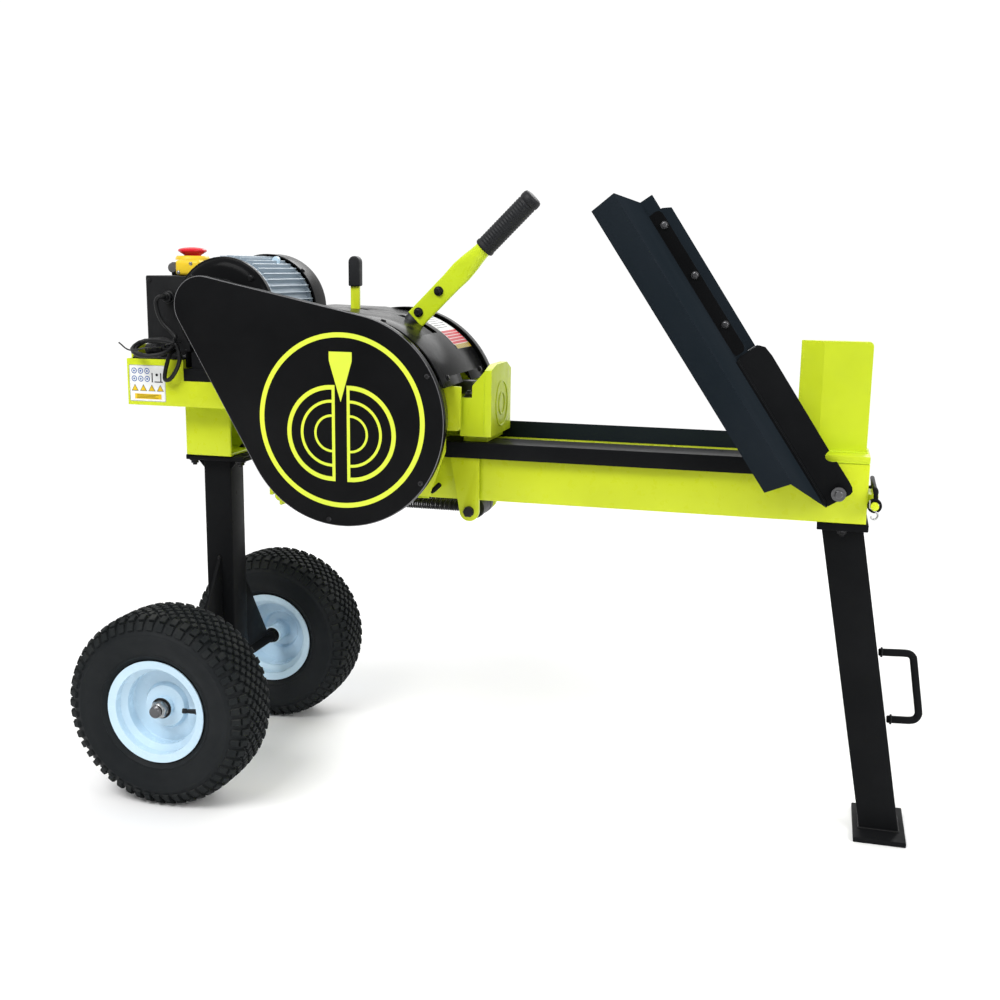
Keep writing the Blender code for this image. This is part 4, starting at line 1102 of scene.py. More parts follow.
class Hardware:
    """The trees that make whatever repeats."""

    def __init__(self) -> None:
        """Build every tree once."""
        self.bolts = self.bolt_tree()
        self.lugs = self.lug_tree()
        self.fins = self.fin_tree()
        self.coil = self.coil_tree()
        self.ribs = self.rib_tree()
        self.bead = self.bead_tree()
        self.marks = self.mark_tree()

    def bolt_tree(self) -> Tree:
        """Hexagon heads with a washer and a chamfer, on points that carry an aim and a size.

        Returns:
            The tree.
        """
        tree = Tree("hexagon_fasteners")
        head = tree.entry("Head height", 0.62)
        washer = tree.entry("Washer width", 1.22)
        tail = tree.entry("Thread length", 0.0)
        surface = tree.entry("Surface", None)
        flat = tree.add("MeshCylinder", {"Vertices": 6, "Radius": 1.0, "Depth": head}).outputs["Mesh"]
        raised = tree.add("ShaderNodeCombineXYZ", {"Z": tree.math("ADD", tree.math("MULTIPLY", head, 0.5), 0.2)})
        flat = tree.add("Transform", {"Geometry": flat, "Translation": raised.outputs[0]}).outputs[0]
        crown = tree.add("MeshCone", {"Vertices": 24, "Radius Top": 0.66, "Radius Bottom": 0.86, "Depth": 0.10})
        top = tree.add("ShaderNodeCombineXYZ", {"Z": tree.math("ADD", head, 0.2)})
        crown = tree.add("Transform", {"Geometry": crown.outputs["Mesh"], "Translation": top.outputs[0]}).outputs[0]
        ring = tree.add("MeshCylinder", {"Vertices": 28, "Radius": washer, "Depth": 0.22}).outputs["Mesh"]
        ring = tree.add("Transform", {"Geometry": ring, "Translation": (0.0, 0.0, 0.11)}).outputs[0]
        reach = tree.math("ADD", tail, 0.01)
        thread = tree.add("MeshCylinder", {"Vertices": 20, "Radius": 0.52, "Depth": reach}).outputs["Mesh"]
        lift = tree.math("ADD", tree.math("ADD", head, 0.2), tree.math("MULTIPLY", tail, 0.5))
        shift = tree.add("ShaderNodeCombineXYZ", {"Z": lift})
        thread = tree.add("Transform", {"Geometry": thread, "Translation": shift.outputs[0]}).outputs[0]
        whole = tree.joined(flat, crown, ring, thread)
        aim = tree.add("InputNamedAttribute", {"Name": "aim"}, data_type="FLOAT_VECTOR").outputs["Attribute"]
        size = tree.add("InputNamedAttribute", {"Name": "size"}, data_type="FLOAT").outputs["Attribute"]
        turn = tree.add("FunctionNodeAlignRotationToVector", {"Vector": aim}, axis="Z").outputs[0]
        set_out = tree.add(
            "InstanceOnPoints",
            {"Points": tree.source.outputs[0], "Instance": whole, "Rotation": turn, "Scale": size},
        ).outputs[0]
        return tree.end(set_out, surface)

    def lug_tree(self) -> Tree:
        """Blocks standing round a ring that lies about Y.

        Returns:
            The tree.
        """
        tree = Tree("ring_of_lugs")
        count = tree.entry("Count", 30)
        radius = tree.entry("Radius", 0.16)
        offset = tree.entry("Row offset", 0.0)
        phase = tree.entry("Phase", 0.0)
        skew = tree.entry("Skew", 0.0)
        lean = tree.entry("Lean", 0.0)
        size = tree.entry("Lug size", (0.01, 0.01, 0.004))
        taper = tree.entry("Taper", 0.8)
        surface = tree.entry("Surface", None)
        index = tree.add("InputIndex").outputs[0]
        turn = tree.math("DIVIDE", tree.math("MULTIPLY", index, 2.0 * math.pi), count)
        angle = tree.math("ADD", turn, phase)
        line = tree.add("Points", {"Count": count}).outputs[0]
        flat_x = tree.math("MULTIPLY", tree.math("SINE", angle, 0.0), radius)
        flat_z = tree.math("MULTIPLY", tree.math("COSINE", angle, 0.0), radius)
        place = tree.add("ShaderNodeCombineXYZ", {"X": flat_x, "Y": offset, "Z": flat_z}).outputs[0]
        line = tree.add("SetPosition", {"Geometry": line, "Position": place}).outputs[0]
        cube = tree.add("MeshCube", {"Size": size}).outputs["Mesh"]
        height = tree.add("InputPosition").outputs[0]
        parts = tree.add("ShaderNodeSeparateXYZ", {0: height})
        high = tree.math("GREATER_THAN", parts.outputs[2], 0.0)
        shrink = tree.math("ADD", tree.math("MULTIPLY", high, tree.math("SUBTRACT", taper, 1.0)), 1.0)
        narrow = tree.add(
            "ShaderNodeCombineXYZ",
            {
                "X": tree.math("MULTIPLY", parts.outputs[0], shrink),
                "Y": tree.math("MULTIPLY", parts.outputs[1], shrink),
                "Z": parts.outputs[2],
            },
        ).outputs[0]
        cube = tree.add("SetPosition", {"Geometry": cube, "Position": narrow}).outputs[0]
        twist = tree.add("ShaderNodeCombineXYZ", {"X": lean, "Z": skew}).outputs[0]
        cube = tree.add("Transform", {"Geometry": cube, "Rotation": twist}).outputs[0]
        round_turn = tree.add("ShaderNodeCombineXYZ", {"Y": angle}).outputs[0]
        set_out = tree.add("InstanceOnPoints", {"Points": line, "Instance": cube, "Rotation": round_turn}).outputs[0]
        return tree.end(set_out, surface)

    def fin_tree(self) -> Tree:
        """Straight cooling fins round a barrel that lies about Y.

        Returns:
            The tree.
        """
        tree = Tree("cooling_fins")
        count = tree.entry("Count", 44)
        radius = tree.entry("Radius", 0.085)
        height = tree.entry("Fin height", 0.012)
        thick = tree.entry("Fin thickness", 0.0028)
        length = tree.entry("Length", 0.158)
        surface = tree.entry("Surface", None)
        index = tree.add("InputIndex").outputs[0]
        angle = tree.math("DIVIDE", tree.math("MULTIPLY", index, 2.0 * math.pi), count)
        line = tree.add("Points", {"Count": count}).outputs[0]
        flat_x = tree.math("MULTIPLY", tree.math("SINE", angle, 0.0), radius)
        flat_z = tree.math("MULTIPLY", tree.math("COSINE", angle, 0.0), radius)
        place = tree.add("ShaderNodeCombineXYZ", {"X": flat_x, "Z": flat_z}).outputs[0]
        line = tree.add("SetPosition", {"Geometry": line, "Position": place}).outputs[0]
        size = tree.add("ShaderNodeCombineXYZ", {"X": thick, "Y": length, "Z": height}).outputs[0]
        fin = tree.add("MeshCube", {"Size": size, "Vertices Y": 6}).outputs["Mesh"]
        spot = tree.add("InputPosition").outputs[0]
        parts = tree.add("ShaderNodeSeparateXYZ", {0: spot})
        high = tree.math("GREATER_THAN", parts.outputs[2], 0.0)
        thin = tree.math("SUBTRACT", 1.0, tree.math("MULTIPLY", high, 0.42))
        slim = tree.add(
            "ShaderNodeCombineXYZ",
            {"X": tree.math("MULTIPLY", parts.outputs[0], thin), "Y": parts.outputs[1], "Z": parts.outputs[2]},
        ).outputs[0]
        fin = tree.add("SetPosition", {"Geometry": fin, "Position": slim}).outputs[0]
        turn = tree.add("ShaderNodeCombineXYZ", {"Y": angle}).outputs[0]
        set_out = tree.add("InstanceOnPoints", {"Points": line, "Instance": fin, "Rotation": turn}).outputs[0]
        return tree.end(set_out, surface)

    def coil_tree(self) -> Tree:
        """A helical spring along X.

        Returns:
            The tree.
        """
        tree = Tree("helical_spring")
        turns = tree.entry("Turns", 60.0)
        radius = tree.entry("Coil radius", 0.0085)
        wire = tree.entry("Wire radius", 0.0014)
        length = tree.entry("Length", 0.3)
        surface = tree.entry("Surface", None)
        spiral = tree.add(
            "CurveSpiral",
            {"Resolution": 14, "Rotations": turns, "Start Radius": radius, "End Radius": radius, "Height": length},
        ).outputs[0]
        lying = tree.add("Transform", {"Geometry": spiral, "Rotation": (0.0, math.pi / 2.0, 0.0)}).outputs[0]
        section = tree.add("CurvePrimitiveCircle", {"Resolution": 6, "Radius": wire}).outputs[0]
        swept = tree.add("CurveToMesh", {"Curve": lying, "Profile Curve": section, "Fill Caps": True}).outputs[0]
        return tree.end(swept, surface)

    def rib_tree(self) -> Tree:
        """Round ribs along a straight line.

        Returns:
            The tree.
        """
        tree = Tree("row_of_ribs")
        count = tree.entry("Count", 12)
        start = tree.entry("Start", (0.0, 0.0, 0.0))
        step = tree.entry("Step", (0.0, 0.0, 0.005))
        turn = tree.entry("Turn", (0.0, 0.0, 0.0))
        radius = tree.entry("Rib radius", 0.016)
        growth = tree.entry("Growth", 0.0)
        wire = tree.entry("Rib thickness", 0.0012)
        surface = tree.entry("Surface", None)
        line = tree.add("MeshLine", {"Count": count, "Start Location": start, "Offset": step}).outputs[0]
        ring = tree.add("CurvePrimitiveCircle", {"Resolution": 40, "Radius": radius}).outputs[0]
        section = tree.add("CurvePrimitiveCircle", {"Resolution": 8, "Radius": wire}).outputs[0]
        loop = tree.add("CurveToMesh", {"Curve": ring, "Profile Curve": section}).outputs[0]
        index = tree.add("InputIndex").outputs[0]
        scale = tree.math("ADD", tree.math("MULTIPLY", index, growth), 1.0)
        size = tree.add("ShaderNodeCombineXYZ", {"X": scale, "Y": scale, "Z": 1.0}).outputs[0]
        feeds = {"Points": line, "Instance": loop, "Rotation": turn, "Scale": size}
        return tree.end(tree.add("InstanceOnPoints", feeds).outputs[0], surface)

    def bead_tree(self) -> Tree:
        """A weld bead of overlapping ripples along a line of edges.

        Returns:
            The tree.
        """
        tree = Tree("weld_bead")
        pitch = tree.entry("Ripple pitch", 0.0016)
        radius = tree.entry("Bead radius", 0.0019)
        surface = tree.entry("Surface", None)
        path = tree.add("MeshToCurve", {0: tree.source.outputs[0]}).outputs[0]
        even = tree.add("ResampleCurve", {"Curve": path, "Length": pitch}, mode="LENGTH").outputs[0]
        dots = tree.add("CurveToPoints", {"Curve": even}, mode="EVALUATED")
        ball = tree.add("MeshUVSphere", {"Segments": 8, "Rings": 5, "Radius": 1.0}).outputs["Mesh"]
        size = tree.add("ShaderNodeCombineXYZ", {"X": radius, "Y": radius, "Z": tree.math("MULTIPLY", radius, 0.75)})
        feeds = {
            "Points": dots.outputs["Points"],
            "Instance": ball,
            "Rotation": dots.outputs["Rotation"],
            "Scale": size.outputs[0],
        }
        return tree.end(tree.add("InstanceOnPoints", feeds).outputs[0], surface)

    def mark_tree(self) -> Tree:
        """A row of flat marks of a few corners, facing -Y.

        Returns:
            The tree.
        """
        tree = Tree("row_of_marks")
        count = tree.entry("Count", 4)
        corners = tree.entry("Corners", 24)
        start = tree.entry("Start", (0.0, 0.0, 0.0))
        step = tree.entry("Step", (0.01, 0.0, 0.0))
        radius = tree.entry("Mark radius", 0.004)
        thick = tree.entry("Thickness", 0.0002)
        spin = tree.entry("Spin", 0.0)
        surface = tree.entry("Surface", None)
        line = tree.add("MeshLine", {"Count": count, "Start Location": start, "Offset": step}).outputs[0]
        disc = tree.add("MeshCylinder", {"Vertices": corners, "Radius": radius, "Depth": thick}).outputs["Mesh"]
        turned_disc = tree.add(
            "Transform",
            {"Geometry": disc, "Rotation": tree.add("ShaderNodeCombineXYZ", {"Z": spin}).outputs[0]},
        ).outputs[0]
        turn = (math.pi / 2.0, 0.0, 0.0)
        feeds = {"Points": line, "Instance": turned_disc, "Rotation": turn}
        return tree.end(tree.add("InstanceOnPoints", feeds).outputs[0], surface)


@dataclass
class Studio:
    """The camera, the lights and the floor.

    Attributes:
        eye: Where the camera stands.
        turn: How far it is turned from +Y towards -X, in degrees.
        dip: How far it looks down, in degrees.
        tilt: How far it leans over, in degrees.
        lens: Its focal length on a 36 mm sensor.
        front_light: How bright the surroundings are on the camera's side.
        back_light: How bright they are behind the object.
        floor_radius: How far the floor reaches.
    """

    eye: tuple[float, float, float] = (1.0157, -1.9482, 0.8928)
    turn: float = 14.5501
    dip: float = 10.9561
    tilt: float = -0.8372
    lens: float = 43.77
    front_light: float = 0.36
    back_light: float = 1.05
    floor_radius: float = 2.6

    def camera(self) -> None:
        """Stand the camera where the object is seen from."""
        data = bpy.data.cameras.new("camera")
        data.lens = self.lens
        data.sensor_width = 36.0
        data.clip_end = 50.0
        item = bpy.data.objects.new("camera", data)
        bpy.context.scene.collection.objects.link(item)
        yaw = math.radians(self.turn)
        pitch = math.radians(self.dip)
        roll = math.radians(self.tilt)
        forward = Vector((-math.sin(yaw) * math.cos(pitch), math.cos(yaw) * math.cos(pitch), -math.sin(pitch)))
        right = Vector((math.cos(yaw), math.sin(yaw), 0.0))
        upward = right.cross(forward)
        side = right * math.cos(roll) - upward * math.sin(roll)
        top = right * math.sin(roll) + upward * math.cos(roll)
        rows = [[side[i], top[i], -forward[i], self.eye[i]] for i in range(3)] + [[0.0, 0.0, 0.0, 1.0]]
        item.matrix_world = Matrix(rows)
        bpy.context.scene.camera = item
        bpy.context.scene.view_settings.view_transform = "Standard"

    def lamp(self, name: str, place: Point, aim: Point, size: tuple[float, float], power: float) -> None:
        """Hang one soft rectangular lamp.

        Args:
            name: The lamp's name.
            place: Where it hangs.
            aim: The point it shines at.
            size: Its width and height.
            power: Its power in watts.
        """
        data = bpy.data.lights.new(name, "AREA")
        data.shape = "RECTANGLE"
        data.size, data.size_y = size
        data.energy = power
        item = bpy.data.objects.new(name, data)
        bpy.context.scene.collection.objects.link(item)
        item.location = place
        item.rotation_euler = (Vector(aim) - Vector(place)).to_track_quat("-Z", "Y").to_euler()

    def build(self) -> None:
        """Make the floor, the sky and the lamps."""
        data = bpy.data.meshes.new("floor")
        rim = arc((0.4, 0.0), self.floor_radius, 0.0, 355.0, 71)
        data.from_pydata([(x, y, 0.0) for x, y in rim], [], [tuple(range(len(rim)))])
        bench = ShaderBench("pale_floor")
        tone = bench.blend(bench.span(bench.noise(2.0, 3.0), 0.3, 0.7, 0.0, 1.0), (0.90, 0.90, 0.90), (0.92, 0.92,
                0.92))
        bench.give(Base_Color=tone, Roughness=0.7, Specular_IOR_Level=0.1)
        data.materials.append(bench.material)
        floor = bpy.data.objects.new("floor", data)
        bpy.context.scene.collection.objects.link(floor)
        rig.stage(floor)
        self.sky()
        self.lamp("key", (-0.6, -2.6, 3.4), (0.4, 0.0, 0.5), (2.4, 1.6), 120.0)
        self.lamp("fill", (3.2, -1.6, 2.0), (0.5, 0.0, 0.5), (1.4, 2.0), 50.0)
        self.lamp("back", (0.6, 3.2, 2.8), (0.5, 0.0, 0.6), (3.0, 1.4), 60.0)

    def sky(self) -> None:
        """Surround the object with soft light: pale behind and above, dimmer in front."""
        world = bpy.data.worlds.new("sky")
        world.use_nodes = True
        tree = world.node_tree
        sky = tree.nodes["Background"]
        way = tree.nodes.new("ShaderNodeTexCoord").outputs["Generated"]
        parts = tree.nodes.new("ShaderNodeSeparateXYZ")
        tree.links.new(way, parts.inputs[0])
        depth = tree.nodes.new("ShaderNodeMapRange")
        depth.interpolation_type = "SMOOTHSTEP"
        for name, value in (("From Min", -0.45), ("From Max", 0.35), ("To Min", self.front_light), ("To Max",
                self.back_light)):
            depth.inputs[name].default_value = value
        tree.links.new(parts.outputs[1], depth.inputs["Value"])
        tree.links.new(depth.outputs["Result"], sky.inputs[1])
        sky.inputs[0].default_value = (1.0, 1.0, 1.0, 1.0)
        bpy.context.scene.world = world


def merge(one: bpy.types.Object, two: bpy.types.Object) -> bpy.types.Object:
    """Put the second object's mesh into the first and drop the second.

    Args:
        one: The object that stays.
        two: The object that is used up.

    Returns:
        The first object.
    """
    work = bmesh.new()
    work.from_mesh(one.data)
    work.from_mesh(two.data)
    work.to_mesh(one.data)
    work.free()
    bpy.data.objects.remove(two, do_unlink=True)
    return one


def weld(maker: Maker, kit: Hardware, name: str, line: Sequence[Point], finish: Finish, slot: str,
         radius: float = 0.0026, body: str = "base") -> bpy.types.Object:
    """Lay a weld bead along a line.

    Args:
        maker: Where pieces go.
        kit: The trees for repeated pieces.
        name: The bead's name.
        line: The points it runs through.
        finish: Its finish.
        slot: The material slot it belongs to.
        radius: The bead's radius.
        body: The body it moves with.

    Returns:
        The bead.
    """
    data = bpy.data.meshes.new("bead_path")
    data.from_pydata([tuple(point) for point in line], [(i, i + 1) for i in range(len(line) - 1)], [])
    values = {"Bead radius": radius, "Ripple pitch": radius * 0.8, "Surface": finish}
    item = maker.grown(name, kit.bead, values, data, 60.0)
    return maker.settle(item, body, slot=slot)


def bolted(maker: Maker, kit: Hardware, name: str, bolts: Sequence[Bolt], finish: Finish, slot: str,
           body: str = "base", **sizes: float) -> bpy.types.Object:
    """Set a group of fasteners.

    Args:
        maker: Where pieces go.
        kit: The trees for repeated pieces.
        name: The group's name.
        bolts: Where each one sits.
        finish: Their finish.
        slot: The material slot they belong to.
        body: The body they move with.
        **sizes: Tree inputs that differ from their defaults, with _ for a space.

    Returns:
        The fasteners as one piece.
    """
    values: dict[str, Any] = {key.replace("_", " "): value for key, value in sizes.items()}
    values["Surface"] = finish
    item = maker.grown(name, kit.bolts, values, spots(bolts), 25.0)
    return maker.settle(item, body, slot=slot)


@dataclass
class RunningGear:
    """The wheels, their tyres and rims, and the axle between them.

    Attributes:
        tread_radius: The radius at the top of the lugs.
        groove: How deep the tread is.
        pitch_count: How many lugs stand round each row.
    """

    tread_radius: float = 0.1650
    groove: float = 0.0048
    pitch_count: int = 52

    def tyre(self, maker: Maker, kit: Hardware, side: Side) -> None:
        """Build one tyre: a smooth carcass and its turf lugs.

        Args:
            maker: Where pieces go.
            kit: The trees for repeated pieces.
            side: Which wheel it is on.
        """
        place = (0.0, side.value * WHEEL_OFFSET, HUB_HEIGHT)
        base = self.tread_radius - self.groove
        half = [(base, 0.0), (base, 0.020), (base - 0.0012, 0.032), (base - 0.0045, 0.0425), (0.1480, 0.0515)]
        half += [(0.1415, 0.0556), (0.1360, 0.0572), (0.1345, 0.0586), (0.1325, 0.0588), (0.1305, 0.0576)]
        half += [(0.1220, 0.0580), (0.1120, 0.0570), (0.1030, 0.0545), (0.0985, 0.0525), (0.0975, 0.0532)]
        half += [(0.0958, 0.0533), (0.0945, 0.0515), (0.0900, 0.0480), (0.0885, 0.0455), (0.0872, 0.0450)]
        half += [(0.0775, 0.0448), (0.0768, 0.0440), (0.0768, 0.0330)]
        inner = [(0.0880, 0.0320), (0.1100, 0.0460), (0.1400, 0.0480), (0.1540, 0.0320), (0.1545, 0.0)]
        section = half + inner
        section += [(radius, -along) for radius, along in reversed(section[1:-1])]
        carcass = maker.mesh(f"tyre_carcass_{side.word}", turned(section, 112, place), SIDEWALL, 50.0)
        maker.settle(carcass, f"wheel_{side.word}", f"tyre_{side.word}")
        step = 2.0 * math.pi / self.pitch_count
        top = base + self.groove
        rows = [
            (0.0000, 0.00, 0.00, 0.0, (0.0120, 0.0092, 0.0100), top - 0.0050),
            (0.0096, 0.50, 0.62, 0.0, (0.0096, 0.0110, 0.0100), top - 0.0050),
            (-0.0096, 0.50, -0.62, 0.0, (0.0096, 0.0110, 0.0100), top - 0.0050),
            (0.0198, 0.00, -0.62, -0.04, (0.0096, 0.0110, 0.0100), top - 0.0051),
            (-0.0198, 0.00, 0.62, 0.04, (0.0096, 0.0110, 0.0100), top - 0.0051),
            (0.0298, 0.50, 0.45, -0.16, (0.0100, 0.0100, 0.0100), top - 0.0060),
            (-0.0298, 0.50, -0.45, 0.16, (0.0100, 0.0100, 0.0100), top - 0.0060),
            (0.0412, 0.00, 0.0, -0.46, (0.0122, 0.0150, 0.0100), top - 0.0088),
            (-0.0412, 0.00, 0.0, 0.46, (0.0122, 0.0150, 0.0100), top - 0.0088),
            (0.0524, 0.00, 0.0, -1.06, (0.0118, 0.0160, 0.0072), top - 0.0182),
            (-0.0524, 0.00, 0.0, 1.06, (0.0118, 0.0160, 0.0072), top - 0.0182),
        ]
        whole: bpy.types.Object | None = None
        for row, (offset, phase, skew, lean, size, radius) in enumerate(rows):
            values = {
                "Count": self.pitch_count,
                "Radius": radius,
                "Row offset": offset,
                "Phase": phase * step,
                "Skew": skew,
                "Lean": lean,
                "Lug size": size,
                "Taper": 0.84,
                "Surface": TREAD,
            }
            ring = maker.grown(f"lug_row_{side.word}_{row}", kit.lugs, values)
            whole = ring if whole is None else merge(whole, ring)
        assert whole is not None
        whole.data.transform(Matrix.Translation(place))
        whole.name = f"tyre_tread_{side.word}"
        maker.bevelled(whole, 0.0005, 1, 40.0, 20.0)
        maker.settle(whole, f"wheel_{side.word}", slot=f"tyre_{side.word}")

    def rim(self, maker: Maker, side: Side) -> None:
        """Build one dished rim with its hub bush and valve.

        Args:
            maker: Where pieces go.
            side: Which wheel it is on.
        """
        place = (0.0, side.value * WHEEL_OFFSET, HUB_HEIGHT)
        face = -side.value
        rim = [(0.0868, -0.0500), (0.0872, -0.0492), (0.0868, -0.0470), (0.0852, -0.0460), (0.0790, -0.0455)]
        rim += [(0.0764, -0.0446), (0.0762, -0.0320), (0.0664, -0.0266), (0.0660, -0.0250)]
        rim += [(radius, -along) for radius, along in reversed(rim)]
        rim += [(0.0848, 0.0490), (0.0780, 0.0478), (0.0742, 0.0462), (0.0737, 0.0345), (0.0726, 0.0325)]
        rim += [(0.0645, 0.0280), (0.0635, 0.0262), (0.0635, -0.0020), (0.0626, -0.0046), (0.0600, -0.0060)]
        rim += [(0.0470, -0.0066), (0.0400, -0.0070), (0.0375, -0.0084), (0.0352, -0.0134), (0.0335, -0.0150)]
        rim += [(0.0260, -0.0156), (0.0205, -0.0150), (0.0182, -0.0130), (0.0175, -0.0100), (0.0175, 0.0314)]
        rim += [(0.0169, 0.0320), (0.0150, 0.0320), (0.0150, -0.0300), (0.0175, -0.0300), (0.0175, -0.0186)]
        rim += [(0.0200, -0.0180), (0.0350, -0.0175), (0.0395, -0.0096), (0.0620, -0.0090), (0.0635, -0.0100)]
        rim += [(0.0635, -0.0275), (0.0737, -0.0335), (0.0737, -0.0475)]
        shape = turned([(radius, face * along) for radius, along in rim], 88, place)
        item = maker.mesh(f"rim_shell_{side.word}", shape, RIM, 28.0)
        maker.settle(item, f"wheel_{side.word}", f"rim_{side.word}")
        out = side.value
        bush = [(0.0104, out * 0.0304), (0.0172, out * 0.0304), (0.0176, out * 0.0301), (0.0176, out * 0.0286),
                (0.0148, out * 0.0286)]
        bush += [(0.0148, out * -0.0290), (0.0104, out * -0.0290)]
        item = maker.mesh(f"hub_bush_{side.word}", turned(bush, 40, place), PLASTIC)
        maker.settle(item, f"wheel_{side.word}", slot=f"tyre_{side.word}")
        foot = Vector((0.0628, side.value * (WHEEL_OFFSET + 0.0210), 0.1625))
        aim = Vector((-0.80, side.value * 0.58, 0.19)).normalized()
        stem = [(0.0, 0.0), (0.0052, 0.0), (0.0050, 0.0040), (0.0040, 0.0060), (0.0036, 0.0170), (0.0030, 0.0180)]
        stem += [(0.0030, 0.0185), (0.0040, 0.0187), (0.0042, 0.0196), (0.0042, 0.0252), (0.0036, 0.0262), (0.0,
                0.0262)]
        item = maker.mesh(f"valve_stem_{side.word}", turned(stem, 24, foot, aim), GRIP)
        maker.settle(item, f"wheel_{side.word}", slot=f"tyre_{side.word}")

    def hub_end(self, maker: Maker, side: Side) -> None:
        """Build the nut, washer and threaded end that hold one wheel.

        Args:
            maker: Where pieces go.
            side: Which wheel it is on.
        """
        out = side.value
        base = Vector((0.0, out * (WHEEL_OFFSET + 0.0305), HUB_HEIGHT))
        washer = turned([(0.0104, 0.0), (0.0138, 0.0), (0.0140, 0.0004), (0.0138, 0.0020), (0.0104, 0.0020)], 48,
                        base, (0.0, out, 0.0))
        nut = prism([(x, z) for x, z in arc((0.0, HUB_HEIGHT), 0.0150, 10.0, 310.0, 5)], 0.0, 0.0084)
        shift = WHEEL_OFFSET + 0.0326
        placed = [Vector((c.x, out * (shift + c.y), c.z)) for c in nut.corners]
        collar = [(0.0, 0.0084), (0.0118, 0.0084), (0.0116, 0.0104), (0.0106, 0.0114), (0.0, 0.0114)]
        dome = turned(collar, 40, Vector((0.0, out * shift, HUB_HEIGHT)), (0.0, out, 0.0))
        shape = washer.plus(Outline(placed, nut.faces), dome)
        item = maker.mesh(f"axle_nut_{side.word}", shape, ZINC, 25.0)
        maker.bevelled(item, 0.0005, 2, 25.0)
        maker.settle(item, "base", f"hub_nut_{side.word}")
        thread: list[tuple[float, float]] = [(0.0, 0.0)]
        for turn in range(5):
            low = 0.0008 + turn * 0.0015
            thread += [(0.0092, low), (0.0099, low + 0.00055), (0.0092, low + 0.0011)]
        thread += [(0.0088, 0.0086), (0.0080, 0.0094), (0.0, 0.0094)]
        start = Vector((0.0, out * (shift + 0.0112), HUB_HEIGHT))
        item = maker.mesh(f"axle_thread_{side.word}", turned(thread, 36, start, (0.0, out, 0.0)), DULL_STEEL, 25.0)
        maker.settle(item, "base", slot=f"hub_nut_{side.word}")

    def build(self, maker: Maker, kit: Hardware) -> None:
        """Build both wheels and the axle.

        Args:
            maker: Where pieces go.
            kit: The trees for repeated pieces.
        """
        for side in Side:
            self.tyre(maker, kit, side)
            self.rim(maker, side)
            self.hub_end(maker, side)
        rod = [(0.0, -0.2610), (0.0086, -0.2610), (0.0099, -0.2595), (0.0099, -0.1860), (0.0122, -0.1855)]
        rod += [(0.0122, -0.1700), (0.0099, -0.1695)]
        rod += [(radius, -along) for radius, along in reversed(rod)]
        shape = turned(rod, 48, (0.0, 0.0, HUB_HEIGHT))
        for out in (-1.0, 1.0):
            rib = [(out * 0.0262, 0.3720), (out * 0.0262, 0.1700), (out * 0.1560, 0.1700), (out * 0.1560, 0.1790)]
            count = len(rib)
            corners = [Vector((x, y, z)) for x in (-0.003, 0.003) for y, z in rib]
            faces = [tuple(range(count)), tuple(range(2 * count - 1, count - 1, -1))]
            faces += [(i, (i + 1) % count, count + (i + 1) % count, count + i) for i in range(count)]
            shape = shape.plus(Outline(corners, faces))
        shape = shape.plus(block((-0.0257, 0.0257), (-0.030, 0.030), (0.150, 0.180)))
        item = maker.mesh("axle_and_ribs", shape, BLACK, 30.0)
        maker.bevelled(item, 0.0008)
        maker.settle(item, "base", "axle")
        for out in (-1.0, 1.0):
            line = [(0.0, out * 0.0262, 0.372), (0.0, out * 0.0262, 0.180)]
            weld(maker, kit, f"rib_weld_{'near' if out < 0 else 'far'}", line, WELD, "axle", 0.0036)
            under = [(0.0, out * 0.034, 0.1748), (0.0, out * 0.155, 0.1748)]
            weld(maker, kit, f"axle_weld_{'near' if out < 0 else 'far'}", under, WELD, "axle", 0.0034)


@dataclass
class Pillar:
    """The square post, its flange and the bracket on top.

    Attributes:
        bolt_radius: Half the width across a flange bolt's corners.
    """

    bolt_radius: float = 0.0074

    def build(self, maker: Maker, kit: Hardware) -> None:
        """Build the post and its fasteners.

        Args:
            maker: Where pieces go.
            kit: The trees for repeated pieces.
        """
        maker.refined("post", "square_post", BLACK, 0.0030, 3)
        maker.refined("post_bracket", "post_bracket_folded", LIME, 0.0018, 3)
        down = [Bolt((x, y, 0.5488), (0.0, 0.0, -1.0), self.bolt_radius) for x in (-0.0380, 0.0500) for y in (-0.034,
                0.034)]
        bolted(maker, kit, "post_flange_bolts", down, BOLT_BLACK, "post", Thread_length=0.5)
        small = [(0.0238, -0.0300, 0.5640), (0.0213, 0.0337, 0.5640), (-0.0300, 0.0337, 0.5640)]
        inside = [Bolt(place, (0.0, 0.0, 1.0), 0.0052) for place in small]
        bolted(maker, kit, "bracket_floor_bolts", inside, BOLT_BLACK, "post_bracket")
        gusset = Outline([], [])
        for x, out in ((-0.0262, -1.0), (0.0262, 1.0)):
            for y in (-0.0225, 0.0205):
                corners = [Vector((x, y + shift, z)) for shift in (0.0, 0.002) for z in (0.5485, 0.5330)]
                corners += [Vector((x + out * 0.0135, y + shift, 0.5485)) for shift in (0.0, 0.002)]
                faces = [(0, 1, 4), (2, 5, 3), (0, 4, 5, 2), (1, 3, 5, 4), (0, 2, 3, 1)]
                gusset = gusset.plus(Outline(corners, faces))
        item = maker.mesh("post_gussets", gusset, BLACK)
        maker.settle(item, "base", slot="post")
        ring = [(-0.026, -0.0262, 0.5485), (0.026, -0.0262, 0.5485), (0.0262, 0.026, 0.5485), (-0.0262, 0.026, 0.5485)]
        weld(maker, kit, "post_top_weld", [*ring, ring[0]], WELD, "post", 0.0022)
        line = [(-0.0450, -0.0500, 0.6474), (0.0400, -0.0500, 0.6474)]
        weld(maker, kit, "bracket_weld", line, LIME_WELD, "post_bracket", 0.0013)


